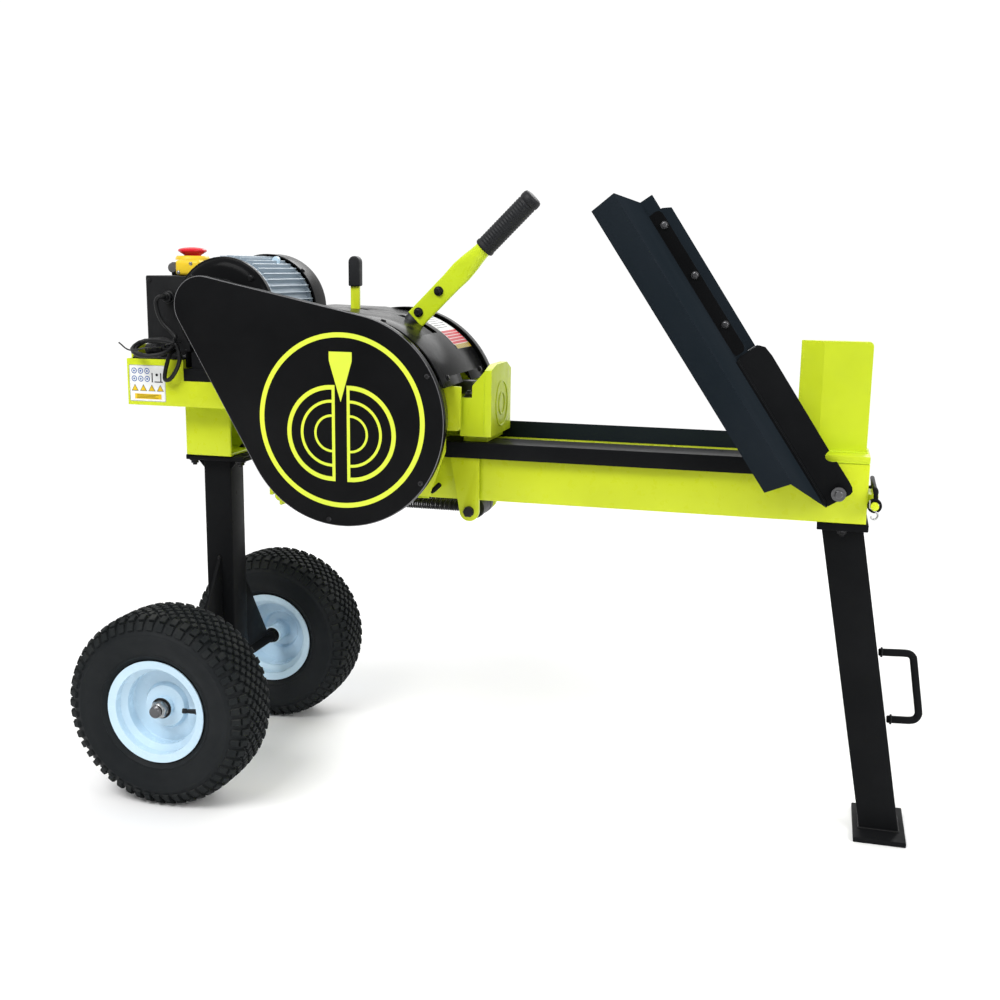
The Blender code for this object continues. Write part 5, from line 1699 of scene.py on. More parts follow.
@dataclass
class MotorDeck:
    """The open channel at the back, the motor on it and the label on its wall.

    Attributes:
        fin_count: How many cooling fins stand round the barrel.
        barrel: The barrel's radius under the fins.
    """

    fin_count: int = 46
    barrel: float = 0.0800

    def motor(self, maker: Maker, kit: Hardware) -> None:
        """Build the motor's barrel, ends, lifting ear and feet.

        Args:
            maker: Where pieces go.
            kit: The trees for repeated pieces.
        """
        x, z = MOTOR_AXIS
        barrel = [(0.0, -0.0880), (0.0860, -0.0880), (0.0862, -0.0840), (self.barrel, -0.0830), (self.barrel, 0.0640)]
        barrel += [(0.0862, 0.0650), (0.0862, 0.0698), (0.0, 0.0698)]
        core = maker.mesh("motor_barrel", turned(barrel, 96, (x, 0.0, z)), FIN_PAINT)
        maker.settle(core, "base", "motor_body")
        values = {
            "Count": self.fin_count,
            "Radius": self.barrel + 0.0040,
            "Fin height": 0.0112,
            "Fin thickness": 0.0030,
            "Length": 0.1480,
            "Surface": FIN_PAINT,
        }
        fins = maker.grown("motor_fins", kit.fins, values)
        fins.data.transform(Matrix.Translation((x, -0.0090, z)))
        maker.bevelled(fins, 0.0003, 1, 40.0)
        maker.settle(fins, "base", slot="motor_body")
        bell = [(0.0128, -0.1160), (0.0290, -0.1160), (0.0310, -0.1150), (0.0330, -0.1124), (0.0360, -0.1112)]
        bell += [(0.0500, -0.1102), (0.0520, -0.1090), (0.0690, -0.1078), (0.0760, -0.1058), (0.0812, -0.1026)]
        bell += [(0.0838, -0.0995), (0.0856, -0.0990), (0.0872, -0.0978), (0.0876, -0.0930), (0.0870, -0.0885)]
        bell += [(0.0128, -0.0885)]
        item = maker.mesh("motor_front_bell", turned(bell, 96, (x, 0.0, z)), BLACK_GLOSS, 24.0)
        maker.settle(item, "base", "motor_end_bell")
        cowl = [(0.0912, 0.0660), (0.0930, 0.0660), (0.0935, 0.0666), (0.0935, 0.1090), (0.0930, 0.1130)]
        cowl += [(0.0905, 0.1180), (0.0870, 0.1215), (0.0825, 0.1235), (0.0815, 0.1237), (0.0815, 0.1215)]
        cowl += [(0.0860, 0.1190), (0.0895, 0.1150), (0.0912, 0.1100)]
        item = maker.mesh("fan_cowl_shell", turned(cowl, 96, (x, 0.0, z)), BLACK_GLOSS, 30.0)
        maker.settle(item, "base", "motor_fan_cowl")
        fan = turned([(0.0, 0.0703), (0.0850, 0.0703), (0.0850, 0.0760), (0.0300, 0.0800), (0.0280, 0.1080),
                      (0.0, 0.1090)], 64, (x, 0.0, z))
        for blade in range(9):
            turn = Matrix.Rotation(2.0 * math.pi * blade / 9.0, 4, "Y")
            vane = block((0.026, 0.080), (0.0745, 0.1060), (-0.0014, 0.0014))
            fan = fan.plus(vane.moved(Matrix.Translation((x, 0.0, z)) @ turn @ Matrix.Rotation(0.25, 4, "X")))
        item = maker.mesh("cooling_fan", fan, PLASTIC)
        maker.settle(item, "base", slot="motor_fan_cowl")
        grille = {
            "Count": 9,
            "Start": (0.0, 0.0, 0.0),
            "Step": (0.0, 0.0, 0.0),
            "Turn": (math.pi / 2.0, 0.0, 0.0),
            "Rib radius": 0.0145,
            "Growth": 0.5750,
            "Rib thickness": 0.0013,
            "Surface": BLACK_GLOSS,
        }
        rings = maker.grown("fan_grille", kit.ribs, grille)
        rings.data.transform(Matrix.Translation((x, 0.1222, z)))
        spokes = Outline([], [])
        for spoke in range(6):
            turn = Matrix.Rotation(math.pi * spoke / 6.0, 4, "Y")
            spokes = spokes.plus(block((-0.0830, 0.0830), (0.1212, 0.1232), (-0.0014, 0.0014)).moved(
                Matrix.Translation((x, 0.0, z)) @ turn))
        spokes = spokes.plus(turned([(0.0, 0.1205), (0.0135, 0.1205), (0.0135, 0.1238), (0.0, 0.1240)], 40, (x, 0.0,
                z)))
        merge(rings, maker.mesh("spokes", spokes, BLACK_GLOSS))
        maker.settle(rings, "base", slot="motor_fan_cowl")
        ear = Outline([], [])
        lug = arc((0.0, 0.0900), 0.0058, 0.0, 180.0, 14) + [(-0.0075, 0.0800), (0.0075, 0.0800)]
        lean = Matrix.Translation((x, 0.0, z)) @ Matrix.Rotation(math.radians(22.0), 4, "Y")
        ear = ear.plus(prism(lug, 0.0300, 0.0390).moved(lean))
        item = maker.mesh("lifting_ear", ear, RIM)
        maker.bevelled(item, 0.0012, 3)
        maker.settle(item, "base", slot="motor_body")
        ring = []
        for turn in range(4):
            angle = math.radians(45.0 + 90.0 * turn)
            ring.append(Bolt((x + 0.0755 * math.cos(angle), -0.1056, z + 0.0755 * math.sin(angle)), (0.0, -1.0, 0.0),
                    0.0048))
        bolted(maker, kit, "motor_bell_bolts", ring, BOLT_BLACK, "motor_end_bell", Head_height=0.4)
        side = []
        for turn in range(4):
            angle = math.radians(45.0 + 90.0 * turn)
            side.append(Bolt((x + 0.0934 * math.cos(angle), 0.0740, z + 0.0934 * math.sin(angle)),
                             (math.cos(angle), 0.0, math.sin(angle)), 0.0036))
        bolted(maker, kit, "cowl_screws", side, BOLT_BLACK, "motor_fan_cowl", Head_height=0.4)
        maker.refined("motor_foot", "motor_foot_casting", BLACK, 0.0014, 2)
        feet = [Bolt((-0.0165, y, 0.7122), (0.0, 0.0, 1.0), 0.0062) for y in (-0.060, 0.060)]
        bolted(maker, kit, "motor_foot_bolts", feet, ZINC, "motor_foot", Thread_length=1.2)

    def label(self, maker: Maker, kit: Hardware) -> None:
        """Build the printed plate with plain shapes and no lettering.

        Args:
            maker: Where pieces go.
            kit: The trees for repeated pieces.
        """
        left, right, low, high = -0.1262, -0.0580, 0.6540, 0.7160
        wall = -0.0900
        plate = prism([*arc((right - 0.002, high - 0.002), 0.002, 0, 90, 4), *arc((left + 0.002, high - 0.002), 0.002,
                90, 180, 4),
                       *arc((left + 0.002, low + 0.002), 0.002, 180, 270, 4), *arc((right - 0.002, low + 0.002),
                               0.002, 270, 360, 4)],
                      wall - 0.0003, wall)
        item = maker.mesh("deck_label_film", plate, DECAL_WHITE)
        maker.settle(item, "base", slot="rear_platform")
        front = wall - 0.0004
        wide = right - left
        rounds = ((0.14, high - 0.0100), (0.32, high - 0.0100), (0.50, high - 0.0100), (0.14, high - 0.0235),
                  (0.32, high - 0.0235), (0.50, high - 0.0235))
        for layer, radius, finish in ((0, 0.0050, DECAL_BLUE), (1, 0.0036, DECAL_WHITE), (2, 0.0017, DECAL_BLUE)):
            for row in range(2):
                values = {
                    "Count": 3,
                    "Corners": 28,
                    "Start": (left + wide * rounds[row * 3][0], front - 0.0001 * layer, rounds[row * 3][1]),
                    "Step": (wide * 0.18, 0.0, 0.0),
                    "Mark radius": radius,
                    "Surface": finish,
                }
                item = maker.grown(f"deck_label_rounds_{layer}_{row}", kit.marks, values)
                maker.settle(item, "base", slot="rear_platform")
        for layer, radius, finish in ((0, 0.0075, DECAL_DARK), (1, 0.0060, DECAL_YELLOW)):
            values = {
                "Count": 4,
                "Corners": 3,
                "Start": (left + wide * 0.15, front - 0.0001 * layer, high - 0.0405),
                "Step": (wide * 0.235, 0.0, 0.0),
                "Mark radius": radius,
                "Spin": math.pi / 2.0,
                "Surface": finish,
            }
            item = maker.grown(f"deck_label_triangles_{layer}", kit.marks, values)
            maker.settle(item, "base", slot="rear_platform")
        bar = block((left + wide * 0.14, left + wide * 0.88), (front - 0.0001, front + 0.0001), (low + 0.0040,
                low + 0.0130))
        item = maker.mesh("deck_label_yellow_field", bar, DECAL_YELLOW)
        maker.settle(item, "base", slot="rear_platform")
        dark = Outline([], [])
        for step in range(3):
            middle = low + 0.0062 + 0.0023 * step
            dark = dark.plus(block((left + wide * 0.20, left + wide * (0.80 - 0.08 * (step % 2))),
                                   (front - 0.0003, front - 0.0001), (middle - 0.0003, middle + 0.0003)))
        frame_low, frame_high = high - 0.0290, high - 0.0130
        for along in (0.64, 0.88):
            dark = dark.plus(block((left + wide * along - 0.0010, left + wide * along + 0.0010),
                                   (front - 0.0002, front), (frame_low, frame_high)))
        dark = dark.plus(block((left + wide * 0.70, left + wide * 0.93), (front - 0.0002, front),
                               (frame_low, frame_low + 0.0016)))
        dark = dark.plus(turned([(0.0, front - 0.0002), (0.0024, front - 0.0002), (0.0024, front), (0.0, front)], 20,
                                (left + wide * 0.77, 0.0, frame_high - 0.0030)))
        for low_edge in (low + 0.0004, high - 0.0008):
            dark = dark.plus(block((left + 0.0006, right - 0.0006), (front - 0.0001, front + 0.0001), (low_edge,
                    low_edge + 0.0004)))
        for side_edge in (left + 0.0004, right - 0.0008):
            dark = dark.plus(block((side_edge, side_edge + 0.0004), (front - 0.0001, front + 0.0001), (low + 0.0004,
                    high - 0.0004)))
        item = maker.mesh("deck_label_plain_signs", dark, DECAL_DARK)
        maker.settle(item, "base", slot="rear_platform")

    def build(self, maker: Maker, kit: Hardware) -> None:
        """Build the channel, the motor, the label and the belt tensioner.

        Args:
            maker: Where pieces go.
            kit: The trees for repeated pieces.
        """
        maker.refined("rear_platform", "deck_channel", LIME, 0.0011, 3)
        self.motor(maker, kit)
        self.label(maker, kit)
        pull = Bolt((-0.0262, -0.0640, 0.7300), (-1.0, 0.0, 0.0), 0.0062)
        bolted(maker, kit, "belt_tension_bolt", [pull], ZINC, "motor_foot", Thread_length=2.2)
        carrier = block((-0.0262, -0.0228), (-0.0760, -0.0520), (0.7124, 0.7400))
        item = maker.mesh("tension_tab", carrier, BLACK)
        maker.bevelled(item, 0.0008)
        maker.settle(item, "base", slot="motor_foot")


@dataclass
class SwitchGear:
    """The switch box, its stop button and the mains lead.

    Attributes:
        lead_radius: The lead's radius.
    """

    lead_radius: float = 0.0036

    def route(self) -> list[Vector]:
        """The lead's centreline: down, two loose turns, and back under the box.

        Returns:
            Its points.
        """
        knots: list[Point] = [(-0.0690, -0.0648, 0.8300), (-0.0692, -0.0690, 0.8301), (-0.0730, -0.0725, 0.8312)]
        knots += [(-0.0780, -0.0730, 0.8270)]
        knots += [(-0.0800, -0.0730, 0.8190), (-0.0770, -0.0730, 0.8040), (-0.0690, -0.0730, 0.7880)]
        knots += [(-0.0540, -0.0740, 0.7740), (-0.0400, -0.0820, 0.7640)]
        for turn in range(11):
            angle = math.radians(40.0 - 63.0 * turn)
            reach = 0.0330 + 0.0004 * turn
            lay = -0.0985 - 0.0100 * (turn / 10.0) + 0.0240 * math.sin(angle)
            knots.append((-0.0690 + reach * math.cos(angle), lay, 0.7475 + 0.0130 * math.sin(angle)))
        knots += [(-0.0360, -0.1010, 0.7560), (-0.0250, -0.1030, 0.7460), (-0.0215, -0.1040, 0.7300)]
        knots += [(-0.0280, -0.1040, 0.7120), (-0.0400, -0.1040, 0.6960), (-0.0500, -0.1035, 0.6935)]
        knots += [(-0.0510, -0.1030, 0.7030), (-0.0470, -0.1020, 0.7200), (-0.0420, -0.0990, 0.7370)]
        knots += [(-0.0400, -0.0900, 0.7420), (-0.0470, -0.0740, 0.7412), (-0.0620, -0.0640, 0.7411)]
        knots += [(-0.0760, -0.0622, 0.7411)]
        return smooth_route(knots, 3)

    def lead(self, maker: Maker) -> None:
        """Build the free lead, its gland and its plug.

        Args:
            maker: Where pieces go.
        """
        path = self.route()
        curve = bpy.data.curves.new("mains_lead", "CURVE")
        curve.dimensions = "3D"
        curve.bevel_depth = self.lead_radius
        curve.bevel_resolution = 4
        curve.use_fill_caps = True
        line = curve.splines.new("POLY")
        line.points.add(len(path) - 1)
        for point, spot in zip(line.points, path):
            point.co = (spot.x, spot.y, spot.z, 1.0)
        curve.materials.append(LEAD.make())
        item = bpy.data.objects.new("mains_lead", curve)
        bpy.context.scene.collection.objects.link(item)
        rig.ride(item, "base")
        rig.replaces(item, "power_cord")
        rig.slot(item, "power_cord")
        end = path[-1]
        heading = (end - path[-2]).normalized()
        plug = [(0.0, 0.0002), (0.0052, 0.0002), (0.0056, 0.0010), (0.0060, 0.0040), (0.0078, 0.0060), (0.0096, 0.0078)]
        plug += [(0.0104, 0.0100), (0.0104, 0.0130), (0.0098, 0.0136), (0.0104, 0.0142), (0.0104, 0.0172), (0.0098,
                0.0178)]
        plug += [(0.0104, 0.0184), (0.0104, 0.0286), (0.0098, 0.0296), (0.0, 0.0298)]
        plug_item = maker.mesh("lead_plug", turned(plug, 36, end, heading), PLASTIC)
        maker.settle(plug_item, "base", "cord_plug")
        length = sum((b - a).length for a, b in zip(path, path[1:]))
        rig.cord(item, exit=tuple(path[0]), length=length, diameter=2.0 * self.lead_radius, far_end="plug",
                stiffness="medium", lay="coiled", with_pieces=[plug_item])
        gland = [(0.0, 0.0), (0.0112, 0.0), (0.0112, 0.0050), (0.0104, 0.0058), (0.0092, 0.0062), (0.0092, 0.0118)]
        gland += [(0.0084, 0.0132), (0.0066, 0.0140), (0.0062, 0.0160), (0.0058, 0.0162), (0.0056, 0.0186), (0.0,
                0.0188)]
        item = maker.mesh("lead_gland", turned(gland, 36, (-0.0690, -0.0453, 0.8300), (0.0, -1.0, 0.0)), PLASTIC)
        maker.settle(item, "base", "cable_gland")
        ties = Outline([], [])
        loop = []
        for step in range(25):
            angle = 2.0 * math.pi * step / 24.0
            loop.append((-0.0350 + 0.0105 * math.cos(angle), -0.0985 + 0.0180 * math.sin(angle),
                    0.7545 + 0.0030 * math.cos(angle)))
        ties = ties.plus(tube(loop, 0.0013, 8))
        tail = [(-0.0450, -0.1130, 0.7500), (-0.0700, -0.1280, 0.7480), (-0.0980, -0.1320, 0.7440), (-0.1190, -0.1300,
                0.7560)]
        ties = ties.plus(tube(smooth_route(tail, 5), 0.0013, 8))
        ties = ties.plus(block((-0.0480, -0.0425), (-0.1160, -0.1115), (0.7475, 0.7525)))
        item = maker.mesh("cable_tie", ties, PLASTIC)
        maker.settle(item, "base", slot="cable_gland")

    def button(self, maker: Maker) -> None:
        """Build the mushroom button on its collar.

        Args:
            maker: Where pieces go.
        """
        head = [(0.0, -0.0040), (0.0112, -0.0040), (0.0112, 0.0042), (0.0144, 0.0044), (0.0146, 0.0092), (0.0162,
                0.0102)]
        head += [(0.0205, 0.0126), (0.0238, 0.0148), (0.0245, 0.0160), (0.0244, 0.0172), (0.0236, 0.0184)]
        head += [(0.0215, 0.0196), (0.0174, 0.0207), (0.0120, 0.0216), (0.0060, 0.0222), (0.0, 0.0225)]
        place = (-0.0480, 0.0, 0.8925)
        item = maker.mesh("stop_mushroom", turned(head, 72, place, (0.0, 0.0, 1.0)), STOP_RED, 28.0)
        maker.settle(item, "stop_button", "stop_button")
        collar = [(0.0252, 0.0001), (0.0292, 0.0001), (0.0288, 0.0036), (0.0266, 0.0068), (0.0258, 0.0072), (0.0252,
                0.0068)]
        item = maker.mesh("stop_collar", turned(collar, 48, (-0.0480, 0.0, 0.8930), (0.0, 0.0, 1.0)), YELLOW)
        maker.settle(item, "base", slot="switch_base")

    def build(self, maker: Maker, kit: Hardware) -> None:
        """Build the box, the button, the knob and the lead.

        Args:
            maker: Where pieces go.
            kit: The trees for repeated pieces.
        """
        maker.refined("switch_box", "switch_box_case", PLASTIC, 0.0022, 3)
        cap = maker.mesh("switch_yellow_cap", block((-0.0640, -0.0175), (-0.0350, 0.0350), (0.8663, 0.8930)), YELLOW)
        well = [(0.0, 0.0), (0.0118, 0.0), (0.0118, 0.020), (0.0, 0.020)]
        maker.bevelled(cap, 0.0060, 4)
        maker.carved(cap, turned(well, 32, (-0.0480, 0.0, 0.8830), (0.0, 0.0, 1.0)))
        maker.bevelled(cap, 0.0003, 1, 60.0)
        maker.settle(cap, "base", "switch_base")
        self.button(maker)
        self.lead(maker)
        x, z = -0.0880, 0.8795
        knob: list[tuple[float, float]] = [(0.0, -0.0240), (0.0078, -0.0240), (0.0084, -0.0230)]
        knob += [(0.0084, -0.0160), (0.0070, -0.0155), (0.0070, -0.0060), (0.0, -0.0060)]
        item = maker.mesh("reset_knob", turned(knob, 36, (x + 0.013, 0.0, z), (0.0, 1.0, 0.0)), GREY_KNOB)
        maker.settle(item, "base", slot="switch_base")
        case = block((-0.0800, -0.0640), (-0.0180, 0.0180), (0.8664, 0.8890))
        item = maker.mesh("switch_black_module", case, PLASTIC)
        maker.bevelled(item, 0.0015, 3)
        maker.settle(item, "base", slot="switch_box")
        screws = [Bolt((px, -0.0350, pz), (0.0, -1.0, 0.0), 0.0026) for px, pz in ((-0.0570, 0.8720), (-0.0330,
                0.8870))]
        bolted(maker, kit, "switch_screws", screws, ZINC, "switch_base", Head_height=0.3)
        lids = [Bolt((px, -0.0451, pz), (0.0, -1.0, 0.0), 0.0030) for px, pz in
                ((-0.1070, 0.7380), (-0.1070, 0.8580), (-0.0420, 0.7380))]
        bolted(maker, kit, "switch_lid_screws", lids, BOLT_BLACK, "switch_box", Head_height=0.3)
        feet = [Bolt((px, py, 0.7302), (0.0, 0.0, 1.0), 0.0042) for px in (-0.1070, -0.0380) for py in (-0.0700,
                0.0700)]
        bolted(maker, kit, "switch_foot_bolts", feet, ZINC, "switch_box")
        seam = block((-0.1146, -0.1139), (-0.0440, 0.0440), (0.7320, 0.8640))
        item = maker.mesh("switch_lid_seam", seam, GREY_KNOB)
        maker.settle(item, "base", slot="switch_box")


@dataclass
class DriveCase:
    """The belt cover, the flywheels with their guards, and the plates that carry them.

    Attributes:
        ring_radius: The outer radius of the printed ring on the cover.
        ring_width: Its width.
        hood_start: Where the hood's label starts round the hood, in degrees.
        hood_end: Where it ends.
    """

    ring_radius: float = 0.1380
    ring_width: float = 0.0077
    hood_start: float = 39.5
    hood_end: float = 71.0

    def cover(self, maker: Maker, kit: Hardware) -> None:
        """Build the teardrop cover, its printed ring, its plain mark and the painted highlight along its folded rim.

        Args:
            maker: Where pieces go.
            kit: The trees for repeated pieces.
        """
        front = -0.1800
        small = (MOTOR_AXIS[0] + 0.001, MOTOR_AXIS[1] + 0.010)
        rows = [(front, 0.0014), (front + 0.00025, 0.0007), (front + 0.0008, 0.0002), (front + 0.0015, 0.0)]
        rows += [(front + 0.0120, 0.0), (front + 0.0120, 0.0016), (front + 0.0020, 0.0016)]
        corners: list[Vector] = []
        loops = []
        for y, inset in rows:
            loop = hull(small, 0.047 - inset, DRIVE_AXIS, 0.1685 - inset, 150)
            loops.append(len(loop))
            corners += [Vector((x, y, z)) for x, z in loop]
        count = loops[0]
        faces: list[tuple[int, ...]] = [tuple(range(count - 1, -1, -1))]
        for row in range(len(rows) - 1):
            base = row * count
            for step in range(count):
                after = (step + 1) % count
                faces.append((base + step, base + after, base + count + after, base + count + step))
        last = (len(rows) - 1) * count
        faces.append(tuple(range(last, last + count)))
        item = maker.mesh("belt_cover_pressed", Outline(corners, faces), BLACK_GLOSS, 24.0)
        # The bevel rows along the cover's front edge take the pale finish: a painted highlight on the folded rim.
        item.data.materials.append(EDGE_SHEEN.make())
        for face in item.data.polygons:
            if abs(face.normal.y) < 0.995 and front + 0.00001 < face.center.y < front + 0.0011:
                face.material_index = 1
        maker.settle(item, "base", "belt_cover")
        maker.refined("belt_backplate", "belt_pan", BLACK, 0.0005, 2)
        ring = []
        for radius in (self.ring_radius, self.ring_radius - self.ring_width):
            ring += [(radius, front - 0.0003), (radius, front + 0.0001)]
        ring = [ring[0], ring[1], ring[3], ring[2]]
        item = maker.mesh("cover_printed_ring", turned(ring, 160, (DRIVE_AXIS[0], 0.0, DRIVE_AXIS[1])), DECAL_LIME)
        maker.settle(item, "base", slot="belt_cover")
        self.mark(maker, front)
        screws = []
        for angle in (28.0, 262.0, 325.0):
            turn = math.radians(angle)
            place = (DRIVE_AXIS[0] + 0.1600 * math.cos(turn), front, DRIVE_AXIS[1] + 0.1600 * math.sin(turn))
            screws.append(Bolt(place, (0.0, -1.0, 0.0), 0.0032))
        bolted(maker, kit, "cover_screws", screws, BOLT_BLACK, "belt_cover", Head_height=0.35, Washer_width=1.35)

    def mark(self, maker: Maker, front: float) -> None:
        """Print a plain picture of a log split in two by a wedge.

        Args:
            maker: Where pieces go.
            front: The Y of the cover's front.
        """
        x, z = DRIVE_AXIS
        shape = Outline([], [])
        for out in (-1.0, 1.0):
            for outer, inner in ((0.0760, 0.0690), (0.0530, 0.0485), (0.0300, 0.0262)):
                rim = arc((0.0, 0.0), outer, -90.0, 90.0, 40)
                back = arc((0.0, 0.0), inner, 90.0, -90.0, 40)
                half = [(x + out * (0.0150 + px), z - 0.0200 + pz) for px, pz in rim + back]
                shape = shape.plus(prism(half, front - 0.0003, front + 0.0001))
            flat = [(x + out * 0.0100, z - 0.0960), (x + out * 0.0150, z - 0.0960), (x + out * 0.0150, z + 0.0560),
                    (x + out * 0.0100, z + 0.0560)]
            shape = shape.plus(prism(flat, front - 0.0003, front + 0.0001))
        wedge = [(x - 0.0190, z + 0.1080), (x + 0.0190, z + 0.1080), (x + 0.0190, z + 0.0940), (x, z + 0.0300),
                 (x - 0.0190, z + 0.0940)]
        shape = shape.plus(prism(wedge, front - 0.0003, front + 0.0001))
        item = maker.mesh("cover_plain_mark", shape, DECAL_LIME)
        maker.settle(item, "base", slot="belt_cover")

    def curved(self, start: float, end: float, near: float, far: float, lift: float) -> Outline:
        """A thin film on the hood's round top.

        Args:
            start: Where it starts, in degrees round the drive axis.
            end: Where it ends.
            near: Its first Y.
            far: Its last Y.
            lift: How far its top stands off the hood.

        Returns:
            The closed film.
        """
        steps = max(2, int(abs(end - start) / 1.5))
        outer = arc(DRIVE_AXIS, HOOD_RADIUS + lift, start, end, steps)
        inner = arc(DRIVE_AXIS, HOOD_RADIUS - 0.0002, end, start, steps)
        return prism(outer + inner, near, far)

    def hood(self, maker: Maker, kit: Hardware) -> None:
        """Build the flywheel hood with its label and screws, and the far guard with its swage and screws.

        Args:
            maker: Where pieces go.
            kit: The trees for repeated pieces.
        """
        self.sheet(maker)
        near, far = 0.0360, 0.1190
        start, end = self.hood_start, self.hood_end
        item = maker.mesh("hood_label_film", self.curved(start, end, near, far, 0.0003), DECAL_WHITE)
        maker.settle(item, "base", slot="flywheel_hood")
        lines = Outline([], [])
        for row in range(6):
            first = end - 2.4 - row * 2.3
            lines = lines.plus(self.curved(first, first + 0.8, near + 0.004, far - 0.010 - 0.006 * (row % 3), 0.0004))
        item = maker.mesh("hood_label_plain_lines", lines, GREY_KNOB)
        maker.settle(item, "base", slot="flywheel_hood")
        red = Outline([], [])
        dark = Outline([], [])
        gold = Outline([], [])
        count = 9
        for index in range(count):
            low = near + (far - near) * index / count
            high = low + (far - near) / count
            middle = (low + high) / 2.0
            dark = dark.plus(self.curved(start, start + 3.2, low, middle, 0.0004))
            gold = gold.plus(self.curved(start, start + 3.2, middle, high, 0.0004))
        for row in range(5):
            first = start + 3.6 + row * 2.3
            red = red.plus(self.curved(first, first + 1.9, near + 0.001, far - 0.001, 0.0004))
        for name, shape, finish in (("red_bars", red, DECAL_RED), ("dark_bars", dark, DECAL_DARK),
                                    ("yellow_bars", gold, DECAL_YELLOW)):
            maker.settle(maker.mesh(f"hood_label_{name}", shape, finish), "base", slot="flywheel_hood")
        cup = [(0.0, 0.1455), (0.1640, 0.1455), (0.1665, 0.1452), (0.1680, 0.1440), (0.1685, 0.1420), (0.1685, 0.1252)]
        cup += [(0.1667, 0.1252), (0.1667, 0.1430), (0.0, 0.1430)]
        item = maker.mesh("far_guard_pressed", turned(cup, 128, (DRIVE_AXIS[0], 0.0, DRIVE_AXIS[1])), BLACK_GLOSS, 28.0)
        maker.settle(item, "base", "far_guard")
        ring = turned([(0.118, 0.1454), (0.1205, 0.1467), (0.1235, 0.1467), (0.126, 0.1454)], 128,
                      (DRIVE_AXIS[0], 0.0, DRIVE_AXIS[1]))
        item = maker.mesh("far_guard_swage", ring, BLACK_GLOSS)
        maker.settle(item, "base", slot="far_guard")
        screws = []
        for turn in range(6):
            angle = math.radians(30.0 + 60.0 * turn)
            place = (DRIVE_AXIS[0] + 0.148 * math.cos(angle), 0.1455, DRIVE_AXIS[1] + 0.148 * math.sin(angle))
            screws.append(Bolt(place, (0.0, 1.0, 0.0), 0.0052))
        bolted(maker, kit, "far_guard_screws", screws, BOLT_BLACK, "far_guard")
        tops = []
        for angle, y in ((24.0, -0.095), (24.0, 0.095), (72.0, -0.122), (72.0, 0.030)):
            turn = math.radians(angle)
            aim = (math.cos(turn), 0.0, math.sin(turn))
            tops.append(Bolt((DRIVE_AXIS[0] + HOOD_RADIUS * aim[0], y, DRIVE_AXIS[1] + HOOD_RADIUS * aim[2]), aim,
                    0.0042))
        bolted(maker, kit, "hood_screws", tops, BOLT_BLACK, "flywheel_hood", Head_height=0.45)

    def sheet(self, maker: Maker) -> None:
        """Bend the hood and cut its slots for both levers and the rack.

        Args:
            maker: Where pieces go.
        """
        outer = arc(DRIVE_AXIS, HOOD_RADIUS, 19.0, 78.0, 60)
        outer += [(0.2620, 0.8165), (0.1650, 0.8185), (0.1610, 0.8175), (0.1590, 0.8155), (0.1585, 0.8130), (0.1585,
                0.7420)]
        inner = arc(DRIVE_AXIS, HOOD_RADIUS - 0.002, 19.0, 78.0, 60)
        inner += [(0.2620, 0.8145), (0.1655, 0.8165), (0.1622, 0.8158), (0.1607, 0.8144), (0.1605, 0.8125), (0.1605,
                0.7420)]
        item = maker.mesh("flywheel_hood_sheet", prism(outer + inner[::-1], -0.1315, 0.1247), BLACK_GLOSS)
        for x_span, y_span, z_span in (((0.331, 0.393), (-0.009, 0.016), (0.700, 0.850)),
                                       ((0.400, 0.500), (-0.024, 0.024), (0.650, 0.7160)),
                                       ((0.238, 0.277), (-0.006, 0.006), (0.700, 0.850))):
            maker.carved(item, block(x_span, y_span, z_span))
        maker.bevelled(item, 0.0005, 2, 40.0, 30.0)
        maker.settle(item, "base", "flywheel_hood")

    def cross_plate(self, maker: Maker, kit: Hardware) -> None:
        """Build the plate across the back of the housing, with its rolled foot.

        Args:
            maker: Where pieces go.
            kit: The trees for repeated pieces.
        """
        outline = [(-0.0897, 0.5050), (-0.0520, 0.5050), (-0.0520, 0.4805), (0.0520, 0.4805), (0.0520, 0.5050),
                   (0.0897, 0.5050), (0.0897, 0.7200), (0.0200, 0.7200), (0.0200, 0.6650),
                   (-0.0200, 0.6650), (-0.0200, 0.7200), (-0.0897, 0.7200)]
        item = maker.mesh("cross_plate", slab(outline, 0.1303, 0.1363), LIME)
        maker.bevelled(item, 0.0011, 3)
        maker.settle(item, "base", "housing_cross_plate")
        foot = prism([(0.1304, 0.4860), (0.1304, 0.5060), *arc((0.1292, 0.4955), 0.0088, 80.0, 280.0, 16)], -0.048,
                0.048)
        item = maker.mesh("cross_plate_foot", foot, LIME)
        maker.bevelled(item, 0.0008, 2, 50.0)
        maker.settle(item, "base", slot="housing_cross_plate")
        low = [Bolt((0.1303, y, zz), (-1.0, 0.0, 0.0), 0.0060) for y in (-0.070, 0.070) for zz in (0.535, 0.610)]
        bolted(maker, kit, "cross_plate_bolts", low, BOLT_BLACK, "housing_cross_plate")

